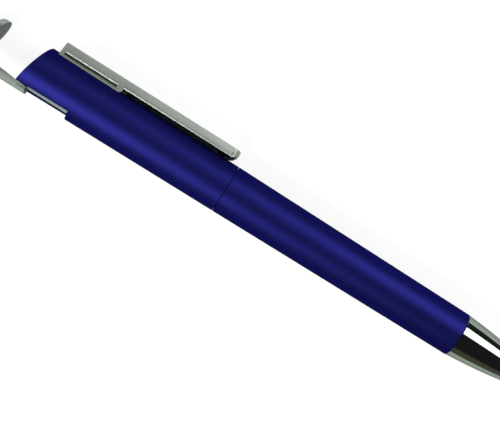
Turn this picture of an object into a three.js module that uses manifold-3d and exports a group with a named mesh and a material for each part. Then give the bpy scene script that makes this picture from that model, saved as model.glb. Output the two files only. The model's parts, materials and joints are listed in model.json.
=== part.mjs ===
// A twist-action stylus pen with a pocket clip and a phone stand that slides out of its back end.
// The pen is built along +X with its clip on +Z, and then laid on its clip and cap.
import * as THREE from "three";
import { mergeVertices, toCreasedNormals } from "three/addons/utils/BufferGeometryUtils.js";
import Module from "manifold-3d";

// Sizes are in millimetres and angles in degrees. Places along the pen are counted from the
// seam between cap and barrel, positive towards the writing tip.

// Fits between pieces
const seatGap = 0.3; // between pieces that are pressed or screwed together
const runGap = 0.3; // around a piece that slides or turns
const stopGap = 0.15; // left where a moving piece meets its stop
const seamGap = 0.3; // between cap and barrel

// Barrel
const barrelLength = 64.05;
const barrelRearRadius = 5.95;
const barrelFrontRadius = 5.38;
const barrelWall = 0.9; // at the nose, where the barrel is thinnest
const edgeChamfer = 0.15;

// Nose cone
const noseLength = 24.85;
const noseStep = 0.05; // how far the nose stays inside the barrel's outline
const noseStartAngle = 5;
const noseTipRadius = 1.6;
const noseTipBore = 1.25;
const noseCollarLength = 8;
const noseSeatDepth = 9.2; // from the tip back to the seat of the spring

// Cap
const capLength = 52.75; // from the seam to the middle of the slanted end
const capFrontRadius = 5.97;
const capBackRadius = 6.4;
const capWall = 0.79; // at the seam, where the cap is thinnest
const endSlant = 14.6; // of the cap's end and of the stand's head
const rimRounding = 0.25;
const notchLength = 12.5;
const notchHalfWidth = 4.1;

// Clip
const clipInset = 3.9; // from the middle of the cap's end to the back of the clip
const clipLength = 47.8;
const clipHalfWidth = 3.35;
const clipRise = 2.57; // of its outer face over the cap's back end
const clipThroatBack = 0.19; // of the clip's underside over the cap, at its back
const clipThroatFront = 0.5; // and just behind the contact bump
const clipCornerRadius = 2; // of the free end, seen from above
const clipNoseRadius = 1.25; // of the free end's lower edge, seen from the side
const clipTopRounding = 0.45; // and of its upper edge
const bumpLength = 4.2; // of the contact bump under the free end
const bumpCrest = 1; // length of the bump's rounded lowest part
const footLength = 16.6;
const footLean = 0.3; // how far the back wall's lower edge stands back
const footNoseRadius = 1.1; // of its lower front edge
const footWall = 0.8;
const footWebHalfWidth = 2.3;
const footFlangeThickness = 0.3;
const tenonHalfWidth = 1.2;
const tenonInset = 3.2; // of the tenon from each end of the foot

// Phone stand
const standTravel = 10.85;
const standSideGap = 0.2;
const headThickness = 1.86;
const headRounding = 0.75; // of its outer edge
const headDrop = 0.15; // how far the head stays inside the cap's outline
const barInnerOffset = 5.15; // of the bar's inner face from the axis, at its free end
const barThickening = 0.85; // of the bar towards the head
const headFillet = 3.2; // between the bar's inner face and the head
const tailThickness = 0.65;
const tailSideInset = 0.6; // of the tail from the sides of the bar
const tailRootLength = 2.1; // of the block that joins the tail to the bar
const guideRecess = 0.6; // of the slide guide inside the cap's rim
const guideEndGap = 1; // between the slide guide and the twist mechanism

// Stylus
const stylusRadius = 3.5;
const stylusLength = 4.1;
const stylusWall = 1.2;
const stylusCollarRadius = 3.9;
const stylusCollarHeight = 1.55;

// Twist mechanism
const refillTravel = 4.5;
const twistAngle = 180;
const spigotLength = 6.85;
const bushLength = 12; // inside the barrel
const bushWall = 0.5;
const sleeveWall = 0.65;
const sleeveFlangeLength = 1;
const ringRadius = 0.35; // of the friction ring's section
const ringInset = 3.35; // of the friction ring from the seam
const washerThickness = 0.6;
const camEndWall = 2.2;
const lugRadius = 0.8;
const camSlotPlay = 0.4;
const plungerLength = 4;
const endCapWall = 0.8;
const endCapSkirt = 1.7;

// Refill and spring
const refillRadius = 1.5;
const refillBore = 1.1;
const refillCollarRadius = 2.3;
const refillCollarLength = 1;
const tipNeckRadius = 1;
const tipEndRadius = 0.75;
const tipTaper = 1.3; // length of the shoulder's cone, and of the cone at the end
const tipRetraction = 1.2; // of the ball inside the nose
const tipShoulderLength = 0.6;
const tipSpigotLength = 3;
const ballRadius = 0.5;
const ballPlay = 0.1;
const springWireRadius = 0.2;
const springCurls = 14;
const springPreload = 18.4; // length of the spring with the tip retracted

// Facets
const shellFacets = 48;
const innerFacets = 32;
const pinFacets = 16;
const ringSides = 10;
const ballRings = 10;
const noseSteps = 8;
const domeSteps = 8;
const bandSteps = 20;
const curlSteps = 8;
const wireSides = 5;
const filletSteps = 5;
const edgeSteps = 3;
const creaseAngle = Math.PI / 6;

// Derived sizes
const slope = Math.tan(THREE.MathUtils.degToRad(endSlant));
const barrelRear = seamGap / 2;
const barrelFront = barrelRear + barrelLength;
const barrelBore = barrelFrontRadius - barrelWall;
const capFront = -seamGap / 2;
const capEnd = capFront - capLength;
const capBore = capFrontRadius - capWall;
const notchStep = capEnd + notchLength;
const noseRear = barrelFront + seamGap / 2;
const noseTip = noseRear + noseLength;
const noseRearRadius = barrelFrontRadius - noseStep;
const springSeat = noseTip - noseSeatDepth;
const springRadius = refillRadius + runGap + springWireRadius;
const noseBore = springRadius + springWireRadius + runGap + ballPlay;

const bushRadius = barrelBore - seatGap;
const bushBore = bushRadius - bushWall;
const bushFront = capFront + bushLength;
const spigotRadius = capBore - seatGap;
const spigotRear = capFront - spigotLength;
const sleeveRadius = bushBore - seatGap;
const sleeveBore = sleeveRadius - sleeveWall;
const washerRear = spigotRear - runGap - washerThickness;
const camFront = washerRear - runGap;
const camHalfSlot = lugRadius + camSlotPlay;
const camLength = refillTravel + 2 * (camHalfSlot + camEndWall);
const camRear = camFront - camLength;
const camBore = sleeveRadius + runGap;
const lugRest = camRear + camEndWall + camHalfSlot;
const endCapFront = camRear - runGap;
const sleeveRear = endCapFront - endCapSkirt + seatGap;
const endCapRear = endCapFront - endCapSkirt - endCapWall;
const plungerRadius = sleeveBore - runGap;
const plungerFront = lugRest + plungerLength / 2;

const refillRear = plungerFront + seatGap;
const ballCentre = noseTip - tipRetraction - ballRadius;
const tipFront = ballCentre + ballPlay / 2;
const springRear = springSeat - seatGap - springPreload;
const refillCollarFront = springRear - seatGap;
const tipNeckRear = springSeat - refillTravel - runGap;
const tipShoulderRear = tipNeckRear - tipTaper - tipShoulderLength;
const refillFront = tipShoulderRear - seatGap;

const guideRadius = capBore - seatGap;
const guideFront = endCapRear - guideEndGap;
const tailRadius = capBore - seatGap;
const tailInner = tailRadius - tailThickness;
const barHalfWidth = notchHalfWidth - standSideGap;
const tailHalfWidth = barHalfWidth - tailSideInset;
const barEnd = notchStep - stopGap - standTravel;
const tailEnd = guideFront - stopGap - standTravel;
const headInner = capEnd - stopGap - standTravel;
const headOuter = headInner - headThickness;
const headRadius = capBackRadius - headDrop;
const stylusCollarFront = headOuter - seatGap;
const stylusCollarRear = stylusCollarFront - stylusCollarHeight;
const stylusBase = stylusCollarRear - seatGap;

const clipBack = capEnd + clipInset;
const clipFront = clipBack + clipLength;
const clipTop = capBackRadius + clipRise;
const footFront = clipBack + footLength;
const armRear = footFront + seatGap;

const far = 200; // past every piece
const overcut = 1; // how far a cutter reaches past what it cuts

// Geometry helpers
const wasm = await Module();
wasm.setup();

/** Turns a closed geometry into a solid whose faces point out. */
function solid(geometry) {
  const bare = geometry.clone();
  bare.deleteAttribute("normal");
  bare.deleteAttribute("uv");
  const merged = mergeVertices(bare, 1e-4);
  const at = merged.attributes.position;
  const corners = [new THREE.Vector3(), new THREE.Vector3(), new THREE.Vector3()];
  const faces = [];
  let volume = 0;
  for (let i = 0; i < merged.index.count; i += 3) {
    const face = [0, 1, 2].map((k) => merged.index.getX(i + k));
    if (new Set(face).size < 3) continue;
    face.forEach((v, k) => corners[k].fromBufferAttribute(at, v));
    volume += corners[0].dot(corners[1].clone().cross(corners[2]));
    faces.push(face);
  }
  if (volume < 0) faces.forEach((face) => face.reverse());
  return new wasm.Manifold(
    new wasm.Mesh({
      numProp: 3,
      vertProperties: new Float32Array(at.array),
      triVerts: new Uint32Array(faces.flat()),
    }),
  );
}

/** Radius of the cap's outside at a place along the pen. */
function capRadiusAt(u) {
  const share = (u - capFront) / (capEnd - capFront);
  return capFrontRadius + (capBackRadius - capFrontRadius) * share;
}

/** A solid turned about the pen's axis from [place, radius] points. */
function turned(profile, facets = innerFacets) {
  const points = profile.map(([u, r]) => new THREE.Vector2(r, u));
  const closes = profile[0][1] > 0 || profile.at(-1)[1] > 0;
  if (closes) points.push(points[0].clone());
  return new THREE.LatheGeometry(points, facets).rotateZ(-Math.PI / 2);
}

/** A plain tube, or a rod where the bore is 0. */
function tube(rear, front, radius, bore, facets = innerFacets) {
  const outside = [[rear, radius], [front, radius]];
  return turned([[rear, bore], ...outside, [front, bore]], facets);
}

/** Slants a solid turned about the axis, so that its ends lie parallel to the cap's end. */
function slanted(geometry) {
  return geometry.applyMatrix4(new THREE.Matrix4().makeShear(0, 0, 0, 0, slope, 0));
}

/** A side outline of [place, height] points, as wide as twice the half width. */
function slab(outline, halfWidth) {
  const shape = new THREE.Shape(outline.map(([u, z]) => new THREE.Vector2(u, z)));
  return new THREE.ExtrudeGeometry(shape, { depth: 2 * halfWidth, bevelEnabled: false })
    .rotateX(Math.PI / 2)
    .translate(0, halfWidth, 0);
}

/** A block between two places, two heights and a half width. */
function block(rear, front, low, high, halfWidth) {
  return new THREE.BoxGeometry(front - rear, 2 * halfWidth, high - low)
    .translate((rear + front) / 2, 0, (low + high) / 2);
}

/** Points of a round corner from one point to another, drawn towards the corner point. */
function roundCorner(from, corner, to, steps = filletSteps) {
  const curve = new THREE.QuadraticBezierCurve(
    new THREE.Vector2(...from),
    new THREE.Vector2(...corner),
    new THREE.Vector2(...to),
  );
  return curve.getPoints(steps).map((p) => [p.x, p.y]);
}

/** The helical band that the lug sweeps through the cam sleeve as the cap turns. */
function helicalBand(innerRadius, outerRadius) {
  const turn = THREE.MathUtils.degToRad(twistAngle);
  const overrun = camHalfSlot / innerRadius;
  const positions = [];
  const index = [];
  for (let i = 0; i <= bandSteps; i++) {
    const twist = -overrun + ((turn + 2 * overrun) * i) / bandSteps;
    const angle = Math.PI / 2 - twist;
    const middle = lugRest + (refillTravel * twist) / turn;
    for (const [r, side] of [[innerRadius, -1], [outerRadius, -1], [outerRadius, 1], [innerRadius, 1]])
      positions.push(middle + side * camHalfSlot, r * Math.cos(angle), r * Math.sin(angle));
    for (let k = 0; k < 4 && i < bandSteps; k++) {
      const a = 4 * i + k;
      const b = 4 * i + ((k + 1) % 4);
      index.push(a, b, b + 4, a, b + 4, a + 4);
    }
  }
  const last = 4 * bandSteps;
  index.push(0, 2, 1, 0, 3, 2, last, last + 1, last + 2, last, last + 2, last + 3);
  const band = new THREE.BufferGeometry();
  band.setAttribute("position", new THREE.Float32BufferAttribute(positions, 3));
  band.setIndex(index);
  return band;
}

/** A coil spring along the pen, as one unbroken tube. */
function coil(rear, front, radius, wireRadius, curls) {
  const steps = curls * curlSteps;
  const positions = [];
  const index = [];
  const span = front - rear - 2 * wireRadius;
  for (let i = 0; i <= steps; i++) {
    const angle = (2 * Math.PI * i) / curlSteps;
    const middle = rear + wireRadius + (span * i) / steps;
    for (let k = 0; k < wireSides; k++) {
      const side = (2 * Math.PI * k) / wireSides;
      const r = radius + wireRadius * Math.cos(side);
      const u = middle + wireRadius * Math.sin(side);
      positions.push(u, r * Math.cos(angle), r * Math.sin(angle));
      if (i === steps) continue;
      const a = wireSides * i + k;
      const b = wireSides * i + ((k + 1) % wireSides);
      index.push(a, b, b + wireSides, a, b + wireSides, a + wireSides);
    }
  }
  const last = wireSides * steps;
  for (let k = 1; k < wireSides - 1; k++) {
    index.push(0, k + 1, k);
    index.push(last, last + k, last + k + 1);
  }
  const wire = new THREE.BufferGeometry();
  wire.setAttribute("position", new THREE.Float32BufferAttribute(positions, 3));
  wire.setIndex(index);
  return wire;
}

/** A named piece of the pen. */
function piece(name, shape, material) {
  const made = shape.getMesh();
  const geometry = new THREE.BufferGeometry();
  geometry.setAttribute("position", new THREE.BufferAttribute(made.vertProperties, 3));
  geometry.setIndex(new THREE.BufferAttribute(made.triVerts, 1));
  const mesh = new THREE.Mesh(toCreasedNormals(geometry, creaseAngle), material);
  mesh.name = name;
  return mesh;
}

function finish(color, roughness, metalness) {
  return new THREE.MeshStandardMaterial({ color, roughness, metalness });
}

// Barrel, nose cone and what is fixed in them

function lowerBarrel() {
  return solid(turned([
    [barrelRear, barrelBore],
    [barrelRear, barrelRearRadius - edgeChamfer],
    [barrelRear + edgeChamfer, barrelRearRadius],
    [barrelFront - edgeChamfer, barrelFrontRadius],
    [barrelFront, barrelFrontRadius - edgeChamfer],
    [barrelFront, barrelBore],
  ], shellFacets));
}

/** Outside radius of the nose cone at a distance from its rear edge. */
function noseRadiusAt(x) {
  const lean = Math.tan(THREE.MathUtils.degToRad(noseStartAngle));
  const bow = (noseRearRadius - lean * noseLength - noseTipRadius) / noseLength ** 2;
  return noseRearRadius - lean * x - bow * x * x;
}

function noseCone() {
  const collarRadius = barrelBore - seatGap;
  const outside = [];
  for (let i = 0; i <= noseSteps; i++) {
    const x = ((noseLength - rimRounding) * i) / noseSteps;
    outside.push([noseRear + x, noseRadiusAt(x)]);
  }
  return solid(turned([
    [noseRear - noseCollarLength, noseBore],
    [noseRear - noseCollarLength, collarRadius],
    [noseRear, collarRadius],
    ...outside,
    [noseTip, noseTipRadius - rimRounding / 2],
    [noseTip, noseTipBore],
    [springSeat, noseTipBore],
    [springSeat, noseBore],
  ], shellFacets));
}

function couplingBush() {
  const ringPlace = capFront - ringInset;
  const grooveHalf = ringRadius + runGap;
  const grooveFloor = spigotRadius - ringRadius * 2 - runGap / 2;
  return solid(turned([
    [spigotRear, bushBore],
    [spigotRear, spigotRadius],
    [ringPlace - grooveHalf, spigotRadius],
    [ringPlace - grooveHalf, grooveFloor],
    [ringPlace + grooveHalf, grooveFloor],
    [ringPlace + grooveHalf, spigotRadius],
    [capFront, spigotRadius],
    [capFront, bushRadius],
    [bushFront, bushRadius],
    [bushFront, bushBore],
  ]));
}

function frictionRing() {
  const ring = new THREE.TorusGeometry(spigotRadius - ringRadius, ringRadius, ringSides, innerFacets);
  return solid(ring.rotateY(Math.PI / 2).translate(capFront - ringInset, 0, 0));
}

/** The sleeve that keeps the plunger from turning: its slot is open at the back. */
function guideSleeve() {
  const flangeRear = bushFront + seatGap;
  const sleeve = solid(turned([
    [sleeveRear, sleeveBore],
    [sleeveRear, sleeveRadius],
    [flangeRear, sleeveRadius],
    [flangeRear, bushRadius],
    [flangeRear + sleeveFlangeLength, bushRadius],
    [flangeRear + sleeveFlangeLength, sleeveBore],
  ]));
  const slotFront = lugRest + refillTravel + lugRadius + runGap;
  const slot = block(sleeveRear - overcut, slotFront, 0, sleeveRadius + overcut, lugRadius + runGap);
  return sleeve.subtract(solid(slot));
}

function thrustWasher() {
  return solid(tube(washerRear, washerRear + washerThickness, spigotRadius, camBore));
}

function mechanismEndCap() {
  const skirtBore = sleeveRadius + seatGap;
  return solid(turned([
    [endCapRear, 0],
    [endCapRear, spigotRadius - edgeChamfer],
    [endCapFront, spigotRadius - edgeChamfer],
    [endCapFront, skirtBore],
    [endCapRear + endCapWall, skirtBore],
    [endCapRear + endCapWall, 0],
  ]));
}

function returnSpring() {
  const front = springRear + springPreload;
  return solid(coil(springRear, front, springRadius, springWireRadius, springCurls));
}

// Cap and what turns with it

function capShell() {
  const shell = solid(turned([
    [capEnd - capBackRadius, capBore],
    [capEnd - capBackRadius, capRadiusAt(capEnd - capBackRadius)],
    [capFront - edgeChamfer, capFrontRadius],
    [capFront, capFrontRadius - edgeChamfer],
    [capFront, capBore],
  ], shellFacets));
  const envelope = solid(slanted(turned([
    [capEnd, 0],
    [capEnd, capBackRadius - rimRounding],
    [capEnd + rimRounding, capBackRadius],
    [capEnd + rimRounding, capBackRadius + overcut],
    [far, capBackRadius + overcut],
    [far, 0],
  ], shellFacets)));
  const notch = block(capEnd - far, notchStep, -far, 0, notchHalfWidth);
  const tenonRear = clipBack + tenonInset - seatGap;
  const tenonFront = footFront - tenonInset + seatGap;
  const tenonSlot = block(tenonRear, tenonFront, 0, far, tenonHalfWidth + seatGap);
  return shell.intersect(envelope).subtract(solid(notch)).subtract(solid(tenonSlot));
}

/** The sleeve whose helical slot drives the plunger forwards as the cap turns. */
function camSleeve() {
  const sleeve = solid(tube(camRear, camFront, capBore - seatGap, camBore));
  return sleeve.subtract(solid(helicalBand(camBore - overcut, capBore + overcut)));
}

/** The plug in the back of the cap, with a channel for the tail of the stand. */
function slideGuide() {
  const face = capEnd + guideRecess;
  const plug = solid(slanted(tube(face, guideFront + far, guideRadius, 0)))
    .intersect(solid(block(-far, guideFront, -far, far, far)));
  const channel = solid(block(-far, guideFront + overcut, -far, 0, tailHalfWidth + runGap));
  const floor = solid(tube(-far, far, tailInner - runGap, 0));
  return plug.subtract(channel.subtract(floor));
}

/** Height of the underside of the clip over the axis. */
function clipUndersideAt(u) {
  const share = (u - clipBack) / clipLength;
  const throat = clipThroatBack + (clipThroatFront - clipThroatBack) * share;
  return capRadiusAt(u) + throat;
}

/** The room that the cap takes under the clip, with its gap. */
function capClearance() {
  return solid(turned([
    [capEnd, 0],
    [capEnd, capRadiusAt(capEnd) + seatGap],
    [capFront, capRadiusAt(capFront) + seatGap],
    [capFront, 0],
  ], shellFacets));
}

function clipFoot() {
  const low = capBore;
  const outline = [
    [clipBack, clipTop],
    [clipBack - footLean, low],
    ...roundCorner([footFront - footNoseRadius, low], [footFront, low], [footFront, low + footNoseRadius]),
    [footFront, clipTop],
  ];
  const flangeTop = Math.sqrt((capBackRadius + seatGap) ** 2 - clipHalfWidth ** 2) + footFlangeThickness;
  const pocket = block(clipBack + footWall, footFront - 2 * footWall, flangeTop,
    clipUndersideAt(clipBack), clipHalfWidth + overcut);
  const web = block(clipBack, footFront, low, clipTop, footWebHalfWidth);
  const tenon = block(clipBack + tenonInset, footFront - tenonInset, capBore + seatGap / 2,
    clipTop - clipRise / 2, tenonHalfWidth);
  return solid(slab(outline, clipHalfWidth))
    .subtract(solid(pocket).subtract(solid(web)))
    .subtract(capClearance())
    .add(solid(tenon));
}

function clipArm() {
  const bumpRear = clipFront - bumpLength;
  const bumpLow = capRadiusAt(clipFront) + seatGap;
  const bumpMiddle = clipFront - clipNoseRadius;
  const outline = [
    [armRear, clipTop],
    [armRear, clipUndersideAt(armRear)],
    ...roundCorner([bumpRear, clipUndersideAt(bumpRear)],
      [bumpMiddle - bumpCrest, bumpLow], [bumpMiddle, bumpLow], edgeSteps),
    ...roundCorner([bumpMiddle, bumpLow], [clipFront, bumpLow],
      [clipFront, clipTop - clipTopRounding]).slice(1),
    [clipFront - clipTopRounding, clipTop],
  ];
  const plan = new THREE.Shape();
  const corner = clipFront - clipCornerRadius;
  const inner = clipHalfWidth - clipCornerRadius;
  plan.moveTo(armRear - overcut, -clipHalfWidth);
  plan.lineTo(corner, -clipHalfWidth);
  plan.absarc(corner, -inner, clipCornerRadius, -Math.PI / 2, 0);
  plan.absarc(corner, inner, clipCornerRadius, 0, Math.PI / 2);
  plan.lineTo(armRear - overcut, clipHalfWidth);
  const planBlock = new THREE.ExtrudeGeometry(plan, {
    depth: clipTop + overcut,
    bevelEnabled: false,
    curveSegments: filletSteps,
  });
  return solid(slab(outline, clipHalfWidth)).intersect(solid(planBlock));
}

// Phone stand and stylus

function standHook() {
  const head = solid(slanted(turned([
    [headOuter, 0],
    ...roundCorner([headOuter, headRadius - headRounding],
      [headOuter, headRadius], [headOuter + headRounding, headRadius], edgeSteps),
    [headInner - rimRounding, headRadius],
    [headInner, headRadius - rimRounding],
    [headInner, 0],
  ], shellFacets)));
  const deep = barInnerOffset - barThickening;
  const headAt = (offset) => headInner - slope * offset;
  const bar = solid(slab([
    [barEnd, -barInnerOffset],
    [barEnd, -headRadius - overcut],
    [headAt(headRadius) - headThickness / 2, -headRadius - overcut],
    [headAt(deep - headFillet / 2) - headThickness / 2, -(deep - headFillet / 2)],
    ...roundCorner([headAt(deep - headFillet / 2), -(deep - headFillet / 2)],
      [headAt(deep), -deep], [headAt(deep) + headFillet, -deep]),
  ], barHalfWidth)).intersect(solid(tube(-far, far, headRadius, 0, shellFacets)));
  const rootRear = barEnd - tailRootLength;
  const root = solid(block(rootRear, barEnd, -barInnerOffset - tailThickness, -tailInner / 2, tailHalfWidth));
  const ring = solid(tube(rootRear, tailEnd, tailRadius, tailInner, shellFacets));
  const tail = ring.intersect(solid(block(rootRear, tailEnd, -far, 0, tailHalfWidth)));
  const rootRing = root.subtract(solid(tube(-far, far, tailInner, 0, shellFacets)));
  const boss = solid(tube(stylusBase - stylusLength / 2, headOuter + headThickness / 2,
    stylusRadius - stylusWall - seatGap, 0));
  return head.add(bar).add(tail).add(rootRing).add(boss);
}

function stylusCollar() {
  const bore = stylusRadius - stylusWall;
  const slantedEnd = solid(slanted(tube(-far, stylusCollarFront, far, 0)));
  return solid(turned([
    [stylusCollarRear, bore],
    [stylusCollarRear, stylusCollarRadius - rimRounding],
    [stylusCollarRear + rimRounding, stylusCollarRadius],
    [headInner, stylusCollarRadius],
    [headInner, bore],
  ], shellFacets)).intersect(slantedEnd);
}

function stylusTip() {
  const bore = stylusRadius - stylusWall;
  const rim = stylusLength - stylusRadius;
  const dome = [];
  for (let i = 0; i <= domeSteps; i++) {
    const angle = (Math.PI / 2) * (i / domeSteps);
    const reach = rim + stylusRadius * Math.sin(angle);
    dome.push([stylusBase - reach, i === domeSteps ? 0 : stylusRadius * Math.cos(angle)]);
  }
  const floor = stylusBase - stylusLength / 2 - seatGap;
  return solid(turned([[floor, 0], [floor, bore], [stylusBase, bore], [stylusBase, stylusRadius], ...dome]));
}

// Plunger and refill

function plunger() {
  const rod = solid(tube(plungerFront - plungerLength, plungerFront, plungerRadius, 0));
  const lugTop = capBore - seatGap - runGap;
  const lug = new THREE.CylinderGeometry(lugRadius, lugRadius, lugTop, pinFacets)
    .rotateX(Math.PI / 2)
    .translate(lugRest, 0, lugTop / 2);
  return rod.add(solid(lug));
}

function refillTube() {
  return solid(turned([
    [refillRear, refillBore],
    [refillRear, refillRadius],
    [refillCollarFront - refillCollarLength, refillRadius],
    [refillCollarFront - refillCollarLength, refillCollarRadius],
    [refillCollarFront, refillCollarRadius],
    [refillCollarFront, refillRadius],
    [refillFront, refillRadius],
    [refillFront, refillBore],
  ]));
}

function refillTip() {
  const tip = solid(turned([
    [refillFront - tipSpigotLength, 0],
    [refillFront - tipSpigotLength, refillBore - seatGap],
    [tipShoulderRear, refillBore - seatGap],
    [tipShoulderRear, refillRadius],
    [tipShoulderRear + tipShoulderLength, refillRadius],
    [tipNeckRear, tipNeckRadius],
    [tipFront - tipTaper, tipNeckRadius],
    [tipFront, tipEndRadius],
    [tipFront, 0],
  ]));
  const socket = new THREE.SphereGeometry(ballRadius + ballPlay, pinFacets, ballRings);
  return tip.subtract(solid(socket.rotateZ(Math.PI / 2).translate(ballCentre, 0, 0)));
}

function writingBall() {
  const ball = new THREE.SphereGeometry(ballRadius, pinFacets, ballRings);
  return solid(ball.rotateZ(Math.PI / 2).translate(ballCentre, 0, 0));
}

// Assembly

const anodisedBlue = () => finish(0x1e1d5f, 0.35, 0.6);
const satinSilver = () => finish(0xa3aca8, 0.3, 0.9);
const brightChrome = () => finish(0xd2d6d6, 0.08, 1);
const blackPlastic = () => finish(0x1c1c1f, 0.5, 0);
const whitePlastic = () => finish(0xd9dcdf, 0.45, 0);
const softBlack = () => finish(0x141416, 0.8, 0);
const springSteel = () => finish(0x9c9fa3, 0.25, 1);
const brass = () => finish(0xb9984d, 0.3, 0.9);

const lowerBody = new THREE.Group().add(
  piece("lower_barrel", lowerBarrel(), anodisedBlue()),
  piece("nose_cone", noseCone(), brightChrome()),
  piece("coupling_bush", couplingBush(), blackPlastic()),
  piece("friction_ring", frictionRing(), softBlack()),
  piece("guide_sleeve", guideSleeve(), whitePlastic()),
  piece("thrust_washer", thrustWasher(), springSteel()),
  piece("mechanism_end_cap", mechanismEndCap(), whitePlastic()),
  piece("return_spring", returnSpring(), springSteel()),
);
const refill = new THREE.Group().add(
  piece("plunger", plunger(), blackPlastic()),
  piece("refill_tube", refillTube(), whitePlastic()),
  piece("refill_tip", refillTip(), brass()),
  piece("writing_ball", writingBall(), springSteel()),
);
const clip = new THREE.Group().add(piece("clip_arm", clipArm(), satinSilver()));
const stand = new THREE.Group().add(
  piece("stand_hook", standHook(), satinSilver()),
  piece("stylus_collar", stylusCollar(), brightChrome()),
  piece("stylus_tip", stylusTip(), softBlack()),
);
const cap = new THREE.Group().add(
  piece("cap_shell", capShell(), anodisedBlue()),
  piece("cam_sleeve", camSleeve(), whitePlastic()),
  piece("slide_guide", slideGuide(), blackPlastic()),
  piece("clip_foot", clipFoot(), satinSilver()),
  clip,
  stand,
);

// The pen lies on its cap and on the nearer corner of its clip.
const cornerReach = Math.hypot(clipTop, clipHalfWidth);
const lean = Math.asin(capBackRadius / cornerReach) - Math.atan(clipHalfWidth / clipTop);
const pen = new THREE.Group().add(lowerBody, refill, cap);
pen.rotation.x = -(Math.PI / 2 + lean);

const part = new THREE.Group().add(pen);
part.updateMatrixWorld(true);
const bounds = new THREE.Box3().setFromObject(part, true);
const middle = bounds.getCenter(new THREE.Vector3());
pen.position.set(-middle.x, -middle.y, -bounds.min.z);

export default part;
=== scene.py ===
"""Looks of a twist-action stylus pen with a pocket clip and a phone stand that slides out of its back end.

Every piece is modelled in millimetres in the pen's own frame: +X towards the writing tip, +Z towards
the clip, and the origin on the axis at the seam between cap and barrel. Each finished piece is then
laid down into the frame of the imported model, in metres.
"""

import json
import logging
import math
import sys
from dataclasses import dataclass, field
from enum import Enum
from typing import Callable

import bpy
from mathutils import Matrix, Vector

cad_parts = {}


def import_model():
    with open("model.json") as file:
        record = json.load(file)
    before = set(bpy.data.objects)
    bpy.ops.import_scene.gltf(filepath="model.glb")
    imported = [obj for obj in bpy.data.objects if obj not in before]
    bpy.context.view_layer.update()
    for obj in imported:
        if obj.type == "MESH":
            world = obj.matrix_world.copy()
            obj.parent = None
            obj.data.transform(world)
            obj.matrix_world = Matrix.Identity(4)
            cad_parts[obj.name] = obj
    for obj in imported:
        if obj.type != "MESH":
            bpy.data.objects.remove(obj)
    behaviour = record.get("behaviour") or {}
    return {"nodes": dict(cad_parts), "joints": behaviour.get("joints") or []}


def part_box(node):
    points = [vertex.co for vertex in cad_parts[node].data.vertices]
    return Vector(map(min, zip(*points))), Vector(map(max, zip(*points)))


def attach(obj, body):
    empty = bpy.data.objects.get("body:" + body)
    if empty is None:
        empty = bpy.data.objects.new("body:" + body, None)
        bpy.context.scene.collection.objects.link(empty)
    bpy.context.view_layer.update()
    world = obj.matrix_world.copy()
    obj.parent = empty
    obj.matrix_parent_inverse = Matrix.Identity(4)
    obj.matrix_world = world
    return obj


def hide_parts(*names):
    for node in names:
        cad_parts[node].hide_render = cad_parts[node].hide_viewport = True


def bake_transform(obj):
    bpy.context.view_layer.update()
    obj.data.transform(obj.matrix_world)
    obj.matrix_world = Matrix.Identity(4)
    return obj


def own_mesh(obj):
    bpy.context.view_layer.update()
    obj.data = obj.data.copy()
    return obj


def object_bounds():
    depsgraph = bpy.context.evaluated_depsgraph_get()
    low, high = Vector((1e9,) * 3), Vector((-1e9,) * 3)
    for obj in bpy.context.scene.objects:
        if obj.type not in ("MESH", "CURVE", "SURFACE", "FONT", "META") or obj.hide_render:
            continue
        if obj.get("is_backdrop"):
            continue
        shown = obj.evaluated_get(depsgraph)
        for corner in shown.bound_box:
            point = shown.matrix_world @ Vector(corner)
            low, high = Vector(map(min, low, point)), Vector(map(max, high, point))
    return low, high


log = logging.getLogger("stylus_pen")

MM = 0.001

# Sides of a turned piece
FINE_FACETS = 144
PLAIN_FACETS = 64

# Vertices nearer than the first are one, and nearer than the second they lie on a plane or a ring, in mm
SAME_PLACE = 1e-4
NEAR = 1e-3

# How far a tool goes past the piece that it cuts, or into the piece that it joins, in millimetres
PAST = 1.0
FAR_PAST = 20.0

# How far a large face keeps its own normal beside a rounding, from 1 to 100
LARGE_FACE_WEIGHT = 80

IMAGE_WIDTH_PX = 500
SENSOR_WIDTH_MM = 36.0

Triple = tuple[float, float, float]
Colour = Triple
Pair = tuple[float, float]
Profile = list[Pair]
EdgeTest = Callable[[Vector, Vector], bool]


# Sizes

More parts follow.
